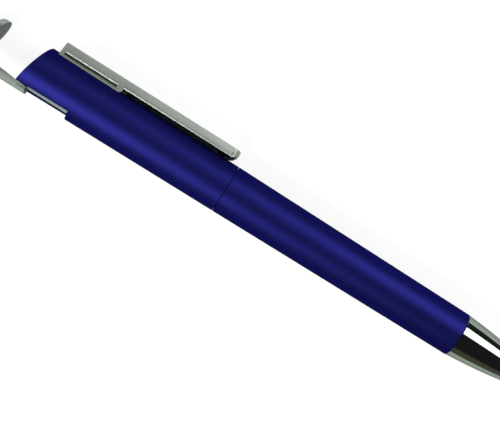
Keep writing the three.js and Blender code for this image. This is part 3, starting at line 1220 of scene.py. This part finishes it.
class Palette:
    """Makes each finish once and hands it out."""

    def __init__(self) -> None:
        """Starts with no finish made."""
        self.made: dict[Finish, bpy.types.Material] = {}

    def dress(self, piece: bpy.types.Object, finish: Finish) -> None:
        """Gives a piece one finish all over, and names its slot of the record.

        Args:
            piece: The object.
            finish: Its finish.
        """
        if finish not in self.made:
            self.made[finish] = finish.value.build()
        piece.data.materials.clear()
        piece.data.materials.append(self.made[finish])


# Sub-assemblies

@dataclass
class Assembly:
    """What every sub-assembly shares.

    Attributes:
        pen: Where the pen lies.
        palette: The finishes.
        tubes: Sizes of the cap, the barrel and the nose.
    """

    pen: PenFrame
    palette: Palette
    tubes: TubeSizes = field(default_factory=TubeSizes)

    def lay_down(self, piece: bpy.types.Object, finish: Finish, nodes: tuple[str, ...]) -> bpy.types.Object:
        """Shades and dresses a piece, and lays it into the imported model's frame.

        Args:
            piece: The piece, in millimetres in the pen's frame.
            finish: Its finish.
            nodes: The nodes that it stands for.

        Returns:
            The piece.
        """
        piece.matrix_world = self.pen.matrix
        take(piece)
        bpy.ops.object.transform_apply(location=True, rotation=True, scale=True)
        smooth(piece)
        self.palette.dress(piece, finish)
        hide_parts(*nodes)
        log.info("%s: %d faces for %s", piece.name, len(piece.data.polygons), ", ".join(nodes))
        return piece


@dataclass
class LowerBody(Assembly):
    """The barrel and the nose cone."""

    nose_steps: int = 28

    def build(self) -> None:
        """Makes the pieces and hangs them on their body."""
        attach(self.barrel(), "lower_body")
        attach(self.nose_cone(), "lower_body")

    def barrel(self) -> bpy.types.Object:
        """Turns the barrel: a tapering tube with rounded edges.

        Returns:
            The piece.
        """
        t = self.tubes
        size = t.edge_round
        profile: Profile = [
            (t.barrel_rear, t.barrel_bore + size),
            *round_arc((t.barrel_rear + size, t.barrel_rear_radius - size), size, 180, 90, 4),
            *round_arc((t.barrel_front - size, t.barrel_front_radius - size), size, 90, 0, 4),
            (t.barrel_front, t.barrel_bore + size),
            (t.barrel_front - size, t.barrel_bore),
            (t.barrel_rear + size, t.barrel_bore),
        ]
        return self.lay_down(turned("barrel", profile), Finish.BLUE_SHELL, ("lower_barrel",))

    def nose_radius_at(self, distance: float) -> float:
        """Outside radius of the nose cone.

        Args:
            distance: Distance from its rear edge.

        Returns:
            The radius there.
        """
        t = self.tubes
        lean = math.tan(t.nose_start_angle)
        curve = (t.nose_rear_radius - lean * t.nose_length - t.nose_tip_radius) / t.nose_length**2
        return t.nose_rear_radius - lean * distance - curve * distance**2

    def nose_cone(self) -> bpy.types.Object:
        """Turns the nose cone with its collar, bore and spring seat.

        Returns:
            The piece.
        """
        t = self.tubes
        tip = t.nose_rear + t.nose_length
        collar = t.nose_rear - t.nose_collar_length
        edge = t.edge_round / 2
        reach = t.nose_length - t.nose_lip - edge
        distances = [edge + reach * step / self.nose_steps for step in range(self.nose_steps + 1)]
        end = self.nose_radius_at(distances[-1])
        profile: Profile = [
            (collar, t.nose_bore),
            (collar, t.nose_collar_radius - t.edge_round),
            (collar + t.edge_round, t.nose_collar_radius),
            (t.nose_rear, t.nose_collar_radius),
            (t.nose_rear, self.nose_radius_at(0) - edge),
            *[(t.nose_rear + distance, self.nose_radius_at(distance)) for distance in distances],
            *round_arc((tip - t.nose_lip, end - t.nose_lip), t.nose_lip, 90, 0, 4)[1:],
            (tip, t.nose_tip_bore),
            (t.nose_seat, t.nose_tip_bore),
            (t.nose_seat, t.nose_bore),
        ]
        return self.lay_down(turned("nose", profile), Finish.BRIGHT_PLATING, ("nose_cone",))


@dataclass
class Cap(Assembly):
    """The turning cap with its clip, and the guide for the stand in its back end."""

    clip: ClipSizes = field(default_factory=ClipSizes)
    stand: StandSizes = field(default_factory=StandSizes)
    bend_steps: int = 8

    def build(self) -> None:
        """Makes the pieces, and hangs the shell and the guide on the cap's body."""
        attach(self.shell(), "cap")
        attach(self.guide(), "cap")
        self.bend_clip(self.whole_clip())

    def shell(self) -> bpy.types.Object:
        """Turns the cap, cuts its slanted end, its notch and the slot for the clip.

        Returns:
            The piece.
        """
        t, c = self.tubes, self.clip
        size = t.edge_round
        rear = t.cap_end - t.cap_back_radius
        profile: Profile = [
            (rear, t.cap_radius_at(rear)),
            (t.notch_step, t.cap_radius_at(t.notch_step)),
            *round_arc((t.cap_front - size, t.cap_front_radius - size), size, 90, 0, 4),
            (t.cap_front, t.cap_bore + size),
            (t.cap_front - size, t.cap_bore),
            (rear, t.cap_bore),
        ]
        piece = turned("cap", profile, ends_open=True)
        middle = Vector((t.cap_end, 0, 0))
        cut_off(piece, middle, t.slant_normal, fill=False)
        on_rim = on_plane(middle, t.slant_normal)
        select_edges(piece, on_rim)
        bpy.ops.mesh.bridge_edge_loops()
        close_up(piece)
        bevel_edges(piece, lambda a, b: on_rim(a, b) and self.along_rim(a, b), t.rim_round, 4)
        width = t.notch_half_width
        notch = block("notch", (t.cap_end - FAR_PAST, -width, -FAR_PAST), (t.notch_step, width, 0))
        combine(piece, notch, Join.CUT)
        width = c.tenon_half_width + c.tenon_play
        combine(piece, block(
            "slot",
            (c.back + c.tenon_inset - c.tenon_play, -width, 0),
            (c.foot_front - c.tenon_inset + c.tenon_play, width, FAR_PAST),
        ), Join.CUT)
        close_up(piece)
        round_edges(piece, t.cut_round, 2, angle=50.0)
        return self.lay_down(piece, Finish.BLUE_SHELL, ("cap_shell",))

    def along_rim(self, a: Vector, b: Vector) -> bool:
        """Says whether an edge of the rim runs round it, and not across its wall."""
        wall = self.tubes.cap_back_radius - self.tubes.cap_bore
        return abs(math.hypot(a.y, a.z) - math.hypot(b.y, b.z)) < wall / 4

    def guide(self) -> bpy.types.Object:
        """Makes the plug in the cap's back end, with the channel for the stand's tail.

        Returns:
            The piece.
        """
        t, s = self.tubes, self.stand
        front = (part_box("slide_guide")[1].x - self.pen.seam.x) / MM
        piece = rod("guide", t.cap_end - FAR_PAST, front, t.cap_bore - s.guide_play, PLAIN_FACETS)
        cut_off(piece, Vector((t.cap_end + s.guide_recess, 0, 0)), t.slant_normal)
        width = s.tail_half_width + s.channel_gap
        rear = t.cap_end - FAR_PAST - PAST
        channel = block("channel", (rear, -width, -FAR_PAST), (front + PAST, width, 0))
        floor = rod("floor", rear - PAST, front + 2 * PAST, s.tail_inner - s.channel_gap, PLAIN_FACETS)
        combine(channel, floor, Join.CUT)
        combine(piece, channel, Join.CUT)
        round_edges(piece, s.fine_round, 2)
        return self.lay_down(piece, Finish.BLACK_PLASTIC, ("slide_guide",))

    def side_outline(self) -> Profile:
        """Outline of the clip from the side, from its back over its foot and arm to its nose.

        Returns:
            Its points in order.
        """
        c = self.clip
        low = self.tubes.cap_bore
        nose_middle = (c.front - c.nose_length, c.underside + c.nose_height)
        return [
            (c.back, c.top),
            (c.back - c.back_lean, low),
            *round_arc((c.foot_front - c.foot_round, low + c.foot_round), c.foot_round, -90, 0, 6),
            (c.foot_front, c.underside),
            *arc(nose_middle, (c.nose_length, c.nose_height), -90, 0, 10),
            *round_arc((c.front - c.top_round, c.top - c.top_round), c.top_round, 0, 90, 4),
        ]

    def plan_outline(self) -> Profile:
        """Outline of the clip from above, with its round free end.

        Returns:
            Its points in order.
        """
        c = self.clip
        middle = c.front - c.plan_corner
        inner = c.half_width - c.plan_corner
        return [
            (c.back - PAST, -c.half_width),
            *round_arc((middle, -inner), c.plan_corner, -90, 0, 10),
            *round_arc((middle, inner), c.plan_corner, 0, 90, 10),
            (c.back - PAST, c.half_width),
        ]

    def whole_clip(self) -> bpy.types.Object:
        """Models the clip as one moulding: its band, foot, tenon, round free end and contact pip.

        Returns:
            The piece.
        """
        c = self.clip
        piece = slab("pocket_clip", self.side_outline(), -c.half_width - PAST, c.half_width + PAST)
        combine(piece, slab("plan", self.plan_outline(), 0, c.top + PAST, Way.UPWARDS), Join.SHARE)
        for side in (-1, 1):
            self.cut_side(piece, side)
        self.cut_inside(piece)
        combine(piece, block(
            "tenon",
            (c.back + c.tenon_inset, -c.tenon_half_width, c.tenon_low),
            (c.foot_front - c.tenon_inset, c.tenon_half_width, c.top - PAST),
        ), Join.ADD)
        combine(piece, self.pip(), Join.ADD)
        close_up(piece, c.least_edge)
        bevel_edges(piece, self.on_long_edge, c.edge_round, 3)
        for step in range(self.bend_steps + 1):
            place = c.bend_start + (c.bend_end - c.bend_start) * step / self.bend_steps
            slice_at(piece, Vector((place, 0, 0)), Vector((1, 0, 0)))
        return self.lay_down(piece, Finish.CLIP_PLATING, ("clip_foot", "clip_arm"))

    def cut_side(self, piece: bpy.types.Object, side: int) -> None:
        """Cuts the pocket in one side of the foot, and shapes that side of the band.

        Args:
            piece: The clip.
            side: 1 or -1, for the side that is cut.
        """
        c = self.clip
        rear, front = c.back + c.wall, c.foot_front - 2 * c.wall
        low, high = side_span(side, c.web_half_width, c.half_width + PAST)
        combine(piece, block("pocket", (rear, low, c.flange_top), (front, high, c.underside)), Join.CUT)
        for outline, start, end in (
            (self.low_edge_outline(), rear, front),
            (self.low_edge_outline(), c.foot_front, c.front + PAST),
            (self.lean_outline(), c.back - PAST, c.front + PAST),
        ):
            mirrored = [(side * across, height) for across, height in outline]
            combine(piece, slab("side_cutter", mirrored, start, end, Way.ALONG), Join.CUT)

    def low_edge_outline(self) -> Profile:
        """Outline of what is cut off to round a lower edge of the band, seen along the pen.

        Returns:
            Its points in order.
        """
        c = self.clip
        inner = c.half_width - c.low_edge_round
        middle = c.underside + c.low_edge_round
        past = c.half_width + PAST
        return [
            *round_arc((inner, middle), c.low_edge_round, -90, 0, 6),
            (past, middle),
            (past, c.underside - c.edge_clear),
            (inner, c.underside - c.edge_clear),
        ]

    def lean_outline(self) -> Profile:
        """Outline of what is cut off to lean the upper half of the band's side inwards.

        Its first edge is the leaning one. It meets the side at half height, and goes on past both ends
        by half of the leaning stretch.

        Returns:
            Its points in order.
        """
        c = self.clip
        half = (c.top - c.underside) / 2
        past = c.half_width + PAST
        return [
            (c.half_width + c.side_lean / 2, c.top - 1.5 * half),
            (c.half_width - 1.5 * c.side_lean, c.top + half / 2),
            (past, c.top + half),
            (past, c.top - 1.5 * half),
        ]

    def cut_inside(self, piece: bpy.types.Object) -> None:
        """Hollows the arm from below, and cuts the seat that the foot has on the cap.

        Args:
            piece: The clip.
        """
        t, c = self.tubes, self.clip
        width = c.half_width - c.hollow_wall
        low, high = (c.foot_front + c.hollow_wall, -width, 0), (c.hollow_front, width, c.top - c.hollow_wall)
        combine(piece, block("hollow", low, high), Join.CUT)
        front = c.foot_front + PAST
        combine(piece, turned("seat", [
            (t.cap_end, 0),
            (t.cap_end, t.cap_radius_at(t.cap_end) + c.seat_gap),
            (front, t.cap_radius_at(front) + c.seat_gap),
            (front, 0),
        ]), Join.CUT)

    def on_long_edge(self, a: Vector, b: Vector) -> bool:
        """Says whether an edge borders the clip's outer face along one of its sides."""
        beside = self.clip.half_width - self.clip.plan_corner / 2
        return all(abs(end.z - self.clip.top) < NEAR and abs(end.y) > beside for end in (a, b))

    def pip(self) -> bpy.types.Object:
        """Makes the small round pip under the free end, which holds the cloth of a pocket.

        Returns:
            The piece.
        """
        c = self.clip
        low = self.tubes.cap_radius_at(c.pip_place) + c.pip_gap
        deselect_all()
        bpy.ops.mesh.primitive_uv_sphere_add(
            segments=32, ring_count=16, radius=1,
            location=(c.pip_place, 0, low + c.pip_size[2]), scale=c.pip_size,
        )
        return named("pip")

    def bend_clip(self, piece: bpy.types.Object) -> None:
        """Puts the clip's place into its mesh; the arm is not made to bend.

        Args:
            piece: The clip.
        """
        start, end = self.pen.point(self.clip.bend_start), self.pen.point(self.clip.bend_end)
        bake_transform(piece)


@dataclass
class Stand(Assembly):
    """The sliding phone stand with the stylus on its head."""

    sizes: StandSizes = field(default_factory=StandSizes)

    def build(self) -> None:
        """Makes the pieces and hangs them on their body."""
        for piece in (self.hook(), self.collar(), self.dome()):
            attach(piece, "stand")

    def hook(self) -> bpy.types.Object:
        """Cuts the head and the bar from one rod, and joins the tail and the stylus boss to them.

        Returns:
            The piece.
        """
        s, t = self.sizes, self.tubes
        reach = s.tool_reach
        inner = Vector((s.head_inner, 0, 0))
        outer = Vector((s.head_outer, 0, 0))
        piece = rod("phone_stand", s.head_outer - s.head_stock, s.bar_end, s.radius)
        cut_off(piece, outer, t.slant_normal)
        bevel_edges(piece, on_plane(outer, t.slant_normal), s.outer_round, 6)
        combine(piece, slab("gap", self.gap_outline(), -reach, reach), Join.CUT)
        rear, front = s.head_inner - s.head_stock, s.bar_end + s.tool_overrun
        for side in (-1, 1):
            low, high = side_span(side, s.bar_half_width, reach)
            flank = block("flank", (rear, low, -reach), (front, high, reach))
            cut_off(flank, inner, t.slant_normal)
            combine(piece, flank, Join.CUT)
        combine(piece, self.tail(), Join.ADD)
        boss = rod("boss", s.boss_rear, s.head_outer + PAST, s.boss_radius, PLAIN_FACETS)
        combine(piece, boss, Join.ADD)
        close_up(piece, s.least_edge)
        return self.lay_down(piece, Finish.STAND_PLATING, ("stand_hook",))

    def gap_outline(self) -> Profile:
        """Outline of the room beside the bar: down the head, round the fillet, and along the bar.

        Returns:
            Its points in order.
        """
        s, slope = self.sizes, self.tubes.slope
        deep = s.bar_root_offset
        on_head = s.head_inner - slope * deep
        start_depth = deep - s.fillet / 2
        root = on_head + s.fillet
        taper = (s.bar_inner_offset - deep) / (s.bar_end - root)
        past = s.bar_end + s.tool_overrun
        start = (s.head_inner - slope * start_depth, -start_depth)
        return [
            (past, s.tool_reach),
            (s.head_inner + slope * s.tool_reach, s.tool_reach),
            *bow(start, (on_head, -deep), (root, -deep), 10),
            (past, -deep - taper * (past - root)),
        ]

    def tail(self) -> bpy.types.Object:
        """Cuts the tail from a tube, and joins the root to it that holds it to the bar.

        Returns:
            The piece.
        """
        s = self.sizes
        rear = s.bar_end - s.tail_root
        width = s.tail_half_width
        piece = turned("tail", [
            (rear, s.tail_inner),
            (rear, s.tail_radius),
            (s.tail_end, s.tail_radius),
            (s.tail_end, s.tail_inner),
        ])
        room = block("room", (rear - PAST, -width, -s.tool_reach), (s.tail_end + PAST, width, 0))
        combine(piece, room, Join.SHARE)
        root = block(
            "root",
            (rear, -width, -s.bar_inner_offset - s.tail_root_depth),
            (s.bar_end - s.root_step, width, -s.tail_inner / 2),
        )
        hollow = rod("hollow", rear - PAST, s.bar_end + PAST, s.tail_inner + s.root_step / 2)
        combine(root, hollow, Join.CUT)
        combine(piece, root, Join.ADD)
        return piece

    def collar(self) -> bpy.types.Object:
        """Turns the ring under the stylus, and slants its front to the head.

        Returns:
            The piece.
        """
        s, t = self.sizes, self.tubes
        front = s.head_inner + s.head_stock
        size = s.collar_round
        piece = turned("stylus_ring", [
            (s.collar_rear, 0),
            *round_arc((s.collar_rear + size, s.collar_radius - size), size, 180, 90, 4),
            (front, s.collar_radius),
            (front, 0),
        ])
        cut_off(piece, Vector((s.head_outer - s.collar_gap, 0, 0)), -t.slant_normal)
        combine(piece, rod("bore", s.collar_rear - PAST, front + PAST, s.dome_bore, PLAIN_FACETS), Join.CUT)
        close_up(piece)
        round_edges(piece, s.fine_round, 2, angle=40.0)
        return self.lay_down(piece, Finish.BRIGHT_PLATING, ("stylus_collar",))

    def dome(self) -> bpy.types.Object:
        """Turns the soft dome of the stylus.

        Returns:
            The piece.
        """
        s = self.sizes
        middle = s.dome_base - (s.dome_length - s.dome_radius)
        floor = s.dome_base - s.dome_length / 2 - s.channel_gap
        size = s.dome_edge
        profile: Profile = [
            (floor, 0),
            (floor, s.dome_bore),
            (s.dome_base, s.dome_bore),
            *round_arc((s.dome_base - size, s.dome_radius - size), size, 0, 90, 3),
            *round_arc((middle, 0), s.dome_radius, 90, 180, 18)[:-1],
            (middle - s.dome_radius, 0),
        ]
        return self.lay_down(turned("stylus_dome", profile, 96), Finish.BLACK_RUBBER, ("stylus_tip",))


@dataclass
class Refill(Assembly):
    """The refill's writing tip, and the spring around it."""

    sizes: RefillSizes = field(default_factory=RefillSizes)

    def build(self) -> None:
        """Makes the pieces, hangs the tip and the ball on the refill's body and the spring on the lower body,
        and gives the spring its own mesh.
        """
        for piece in (self.tip(), self.ball()):
            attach(piece, "refill")
        spring = self.spring()
        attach(spring, "lower_body")
        seat = self.pen.point(self.sizes.spring_front)
        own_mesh(spring)

    def tip(self) -> bpy.types.Object:
        """Turns the brass tip: its spigot, shoulder, grooved neck, cone and lip.

        Returns:
            The piece.
        """
        r = self.sizes
        depth = r.groove_depth
        bend, cone = (r.cone_rear + run for run in r.cone_bow)
        profile: Profile = [
            (r.spigot_rear, 0),
            (r.spigot_rear, r.spigot_radius),
            (r.shoulder_rear, r.spigot_radius),
            (r.shoulder_rear, r.shoulder_radius),
            (r.shoulder_rear + r.shoulder_length, r.shoulder_radius),
            (r.neck_rear, r.neck_radius),
            (r.groove_place - 2 * depth, r.neck_radius),
            (r.groove_place - depth, r.neck_radius - depth),
            (r.groove_place + depth, r.neck_radius - depth),
            (r.groove_place + 2 * depth, r.neck_radius),
            *bow((r.cone_rear, r.neck_radius), (bend, r.neck_radius), (cone, r.cone_radius), 4),
            *arc((r.lip_front - r.lip_round[0], r.lip_radius - r.lip_step), r.lip_round, 90, -90, 5),
            (r.ball_centre - r.socket_depth, r.ball_radius + r.socket_play),
            (r.ball_centre - r.ball_radius, r.ball_radius / 2),
            (r.ball_centre - r.ball_radius - r.socket_depth, 0),
        ]
        return self.lay_down(turned("writing_tip", profile, 72), Finish.BRASS, ("refill_tip",))

    def ball(self) -> bpy.types.Object:
        """Makes the writing ball.

        Returns:
            The piece.
        """
        r = self.sizes
        deselect_all()
        bpy.ops.mesh.primitive_uv_sphere_add(
            segments=48, ring_count=24, radius=r.ball_radius, location=(r.ball_centre, 0, 0),
        )
        return self.lay_down(named("ball"), Finish.SPRING_STEEL, ("writing_ball",))

    def spring(self) -> bpy.types.Object:
        """Winds the return spring from one round of wire.

        Returns:
            The piece.
        """
        r = self.sizes
        rear = r.spring_rear + r.wire_radius
        length = r.spring_front - r.spring_rear - 2 * r.wire_radius
        deselect_all()
        bpy.ops.mesh.primitive_circle_add(
            vertices=12, radius=r.wire_radius,
            location=(rear, 0, r.spring_radius), rotation=(math.pi / 2, 0, 0),
        )
        piece = named("coil_spring")
        apply_modifier(
            piece, "SCREW", axis="X", angle=2 * math.pi, iterations=r.curls,
            screw_offset=length / r.curls, steps=r.curl_steps, render_steps=r.curl_steps,
        )
        edit(piece, "DESELECT")
        bpy.ops.mesh.select_non_manifold()
        bpy.ops.mesh.fill_holes(sides=0)
        leave_edit()
        close_up(piece)
        return self.lay_down(piece, Finish.SPRING_STEEL, ("return_spring",))


class InnerWorks:
    """The nodes that stay as they are packed, dressed in their finishes."""

    FINISHES = {
        "coupling_bush": Finish.BLACK_PLASTIC,
        "friction_ring": Finish.BLACK_RUBBER,
        "guide_sleeve": Finish.WHITE_PLASTIC,
        "thrust_washer": Finish.SPRING_STEEL,
        "mechanism_end_cap": Finish.WHITE_PLASTIC,
        "cam_sleeve": Finish.WHITE_PLASTIC,
        "plunger": Finish.BLACK_PLASTIC,
        "refill_tube": Finish.WHITE_PLASTIC,
    }

    def __init__(self, palette: Palette, nodes: dict[str, bpy.types.Object]) -> None:
        """Keeps what it dresses.

        Args:
            palette: The finishes.
            nodes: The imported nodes.
        """
        self.palette = palette
        self.nodes = nodes

    def dress(self) -> None:
        """Dresses each node."""
        for name, finish in self.FINISHES.items():
            self.palette.dress(self.nodes[name], finish)
            log.info("%s: dressed as %s", name, finish.value.name)


# The studio

def leaned(vector: Vector, other: Vector, angle: float) -> Vector:
    """Leans a vector towards another one that is square to it.

    Args:
        vector: The vector.
        other: The other one.
        angle: The angle, in radians.

    Returns:
        The leaning vector.
    """
    return vector * math.cos(angle) + other * math.sin(angle)


@dataclass(frozen=True)
class PhotoView:
    """The photograph's view of the pen.

    Attributes:
        roll: How far the clip is turned away from the camera, in radians.
        axis_tilt: Angle of the pen's axis below the picture's horizontal, in radians.
        yaw: How far the camera looks away from the square line to the axis, towards the stand.
        pitch: How far it looks away from that line, away from the clip.
        foot: Place on the axis that the camera stands over, from the seam, in millimetres.
        distance: From the camera to the axis, in millimetres.
        focal_px: Focal length in pixels of the photograph.
        sight: Nearest and furthest distance that the camera sees, in metres.
    """

    roll: float = math.radians(8.5)
    axis_tilt: float = math.radians(32.171)
    yaw: float = math.radians(-2.3)
    pitch: float = math.radians(0.4)
    foot: float = -5.135
    distance: float = 332.0
    focal_px: float = 1421.0
    sight: Pair = (0.01, 20.0)

    def set_camera(self, pen: PenFrame) -> None:
        """Makes the camera, and makes it the scene's.

        Args:
            pen: Where the pen lies.
        """
        side = pen.clip_way.cross(pen.along)
        back, across = leaned(-side, -pen.clip_way, self.roll), leaned(pen.clip_way, -side, self.roll)
        spot = pen.seam + (pen.along * self.foot + back * self.distance) * MM
        back, along = leaned(back, pen.along, self.yaw), leaned(pen.along, -back, self.yaw)
        back, across = leaned(back, across, self.pitch), leaned(across, -back, self.pitch)
        right, up = leaned(along, across, self.axis_tilt), leaned(across, -along, self.axis_tilt)
        lens = bpy.data.cameras.new("camera")
        lens.sensor_width = SENSOR_WIDTH_MM
        lens.lens = self.focal_px / IMAGE_WIDTH_PX * SENSOR_WIDTH_MM
        lens.clip_start, lens.clip_end = self.sight
        camera = bpy.data.objects.new("camera", lens)
        bpy.context.scene.collection.objects.link(camera)
        turn = Matrix((right, up, back)).transposed().to_4x4()
        camera.matrix_world = Matrix.Translation(spot) @ turn
        bpy.context.scene.camera = camera


@dataclass(frozen=True)
class SoftBox:
    """A soft rectangular lamp beside the pen, parallel to it.

    Attributes:
        name: Its name.
        angle: Its angle round the pen from straight above, towards the clip, in degrees.
        distance: Its distance from the pen, in metres.
        along: Place of its middle along the pen, in metres.
        size: Its length along the pen and its width, in metres.
        radiance: How bright it looks. A white wall in plain light is 1.
    """

    name: str
    angle: float
    distance: float
    along: float
    size: tuple[float, float]
    radiance: float

    def hang(self) -> None:
        """Makes the lamp."""
        lamp = bpy.data.lights.new(self.name, "AREA")
        lamp.shape = "RECTANGLE"
        lamp.size, lamp.size_y = self.size
        lamp.energy = self.radiance * math.pi * self.size[0] * self.size[1]
        holder = bpy.data.objects.new(self.name, lamp)
        bpy.context.scene.collection.objects.link(holder)
        turn = math.radians(self.angle)
        holder.location = (self.along, math.sin(turn) * self.distance, math.cos(turn) * self.distance)
        holder.rotation_euler = (-turn, 0, 0)


class Studio:
    """The floor, the lamps, the dark canopy that bright metal mirrors, and the white surroundings."""

    LAMPS = (
        SoftBox("clip_side_lamp", 52.5, 0.5, 0.3, (0.5, 0.34), 4.8),
        SoftBox("clip_side_fill", 60.0, 0.5, -0.22, (0.54, 0.28), 1.0),
        SoftBox("stand_side_lamp", -34.0, 0.5, -0.285, (0.52, 0.26), 8.2),
    )
    WHITE = (1.0, 1.0, 1.0, 1.0)
    FLOOR_SIZE = 6.0
    FLOOR_COLOUR = (0.2, 0.2, 0.2, 1.0)
    FLOOR_GLOW = 0.83
    CANOPY_LENGTH = 3.0
    CANOPY_RADIUS = 0.75
    CANOPY_DROP = 0.02
    CANOPY_FOOT = 0.001
    CLOTH_COLOUR = (0.01, 0.01, 0.011, 1.0)
    CLOTH_GLOW = (0.028, 0.028, 0.03)
    LOW_CLOTH_GLOW = (0.16, 0.15, 0.11)
    LOW_CLOTH = (-0.54, -0.64)
    HEM_EDGE = 0.032
    HEM_HEIGHTS = (0.0002, 0.0006)
    HEM_OVERLAP = 0.01
    SKY_LIGHT = 0.35

    def build(self) -> None:
        """Sets the studio up."""
        for lamp in self.LAMPS:
            lamp.hang()
        self.floor()
        self.canopy()
        self.surroundings()
        bpy.context.scene.view_settings.view_transform = "Standard"

    def shown_rays(self, tree: bpy.types.NodeTree) -> bpy.types.NodeSocket:
        """Tells the rays that show the background, to the camera or in metal and glass, from the others.

        Args:
            tree: The node tree of the world or of a material.

        Returns:
            A socket that is 1 for those rays.
        """
        rays = tree.nodes.new("ShaderNodeLightPath")
        shown = rays.outputs["Is Camera Ray"]
        for other in ("Is Glossy Ray", "Is Transmission Ray"):
            either = tree.nodes.new("ShaderNodeMath")
            either.operation = "MAXIMUM"
            tree.links.new(shown, either.inputs[0])
            tree.links.new(rays.outputs[other], either.inputs[1])
            shown = either.outputs["Value"]
        return shown

    def floor(self) -> None:
        """Lays a pale floor, which shows white and keeps the pen's shadow."""
        deselect_all()
        bpy.ops.mesh.primitive_plane_add(size=self.FLOOR_SIZE)
        floor = named("floor")
        board = NodeBoard("white_floor")
        board.set(Base_Color=self.FLOOR_COLOUR, Roughness=0.9, Specular_IOR_Level=0.1)
        board.set(Emission_Color=self.WHITE)
        board.feed(Emission_Strength=board.product(self.shown_rays(board.tree), self.FLOOR_GLOW))
        floor.data.materials.append(board.material)
        floor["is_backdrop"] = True

    def canopy(self) -> None:
        """Hangs a dark half tunnel over the pen and a dark hem on the floor beside it.

        Only reflections meet them. The tunnel is lighter low on the stand's side.
        """
        deselect_all()
        bpy.ops.mesh.primitive_cylinder_add(
            vertices=PLAIN_FACETS, radius=self.CANOPY_RADIUS, depth=self.CANOPY_LENGTH,
            location=(0, 0, -self.CANOPY_DROP), rotation=(0, math.pi / 2, 0),
        )
        tunnel = named("dark_canopy")
        cut_off(tunnel, Vector((0, 0, self.CANOPY_FOOT)), Vector((0, 0, 1)), fill=False)
        board = NodeBoard("dark_cloth")
        board.set(Base_Color=self.CLOTH_COLOUR, Roughness=0.9, Specular_IOR_Level=0.0, Emission_Strength=1.0)
        low = board.ramp(board.coordinate("Y"), *self.LOW_CLOTH)
        board.feed(Emission_Color=board.blend_colours(low, self.CLOTH_GLOW, self.LOW_CLOTH_GLOW))
        half, edge = self.CANOPY_LENGTH / 2, self.CANOPY_RADIUS + self.HEM_OVERLAP
        bottom, top = self.HEM_HEIGHTS
        hem = block("dark_hem", (-half, self.HEM_EDGE, bottom), (half, edge, top))
        for cloth in (tunnel, hem):
            cloth.data.materials.append(board.material)
            cloth.visible_camera = False
            cloth.visible_diffuse = False
            cloth.visible_transmission = False
            cloth.visible_shadow = False
            cloth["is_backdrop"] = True

    def surroundings(self) -> None:
        """Makes the surroundings white to the camera and to reflections, and an even soft light."""
        world = bpy.data.worlds.new("surroundings")
        bpy.context.scene.world = world
        world.use_nodes = True
        tree = world.node_tree
        tree.nodes.clear()
        mix = tree.nodes.new("ShaderNodeMixShader")
        for socket, strength in ((mix.inputs[1], self.SKY_LIGHT), (mix.inputs[2], 1.0)):
            background = tree.nodes.new("ShaderNodeBackground")
            background.inputs["Color"].default_value = self.WHITE
            background.inputs["Strength"].default_value = strength
            tree.links.new(background.outputs["Background"], socket)
        output = tree.nodes.new("ShaderNodeOutputWorld")
        tree.links.new(self.shown_rays(tree), mix.inputs["Fac"])
        tree.links.new(mix.outputs["Shader"], output.inputs["Surface"])


def write_sizes(cad_box: tuple[Vector, Vector], visual_box: tuple[Vector, Vector]) -> None:
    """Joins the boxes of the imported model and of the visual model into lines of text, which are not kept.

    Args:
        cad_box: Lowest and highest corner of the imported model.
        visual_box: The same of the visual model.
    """
    lines = [json.dumps([list(corner) for corner in box]) for box in (cad_box, visual_box)]
    "\n".join(lines) + "\n"


def main() -> None:
    """Builds the pen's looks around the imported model."""
    logging.basicConfig(level=logging.INFO, format="%(name)s: %(message)s", stream=sys.stdout)
    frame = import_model()
    cad_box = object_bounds()
    pen = PenFrame.from_joints(frame["joints"])
    palette = Palette()
    PhotoView().set_camera(pen)
    LowerBody(pen, palette).build()
    Cap(pen, palette).build()
    Stand(pen, palette).build()
    Refill(pen, palette).build()
    InnerWorks(palette, frame["nodes"]).dress()
    Studio().build()
    deselect_all()
    write_sizes(cad_box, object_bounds())


if __name__ == "__main__":
    main()
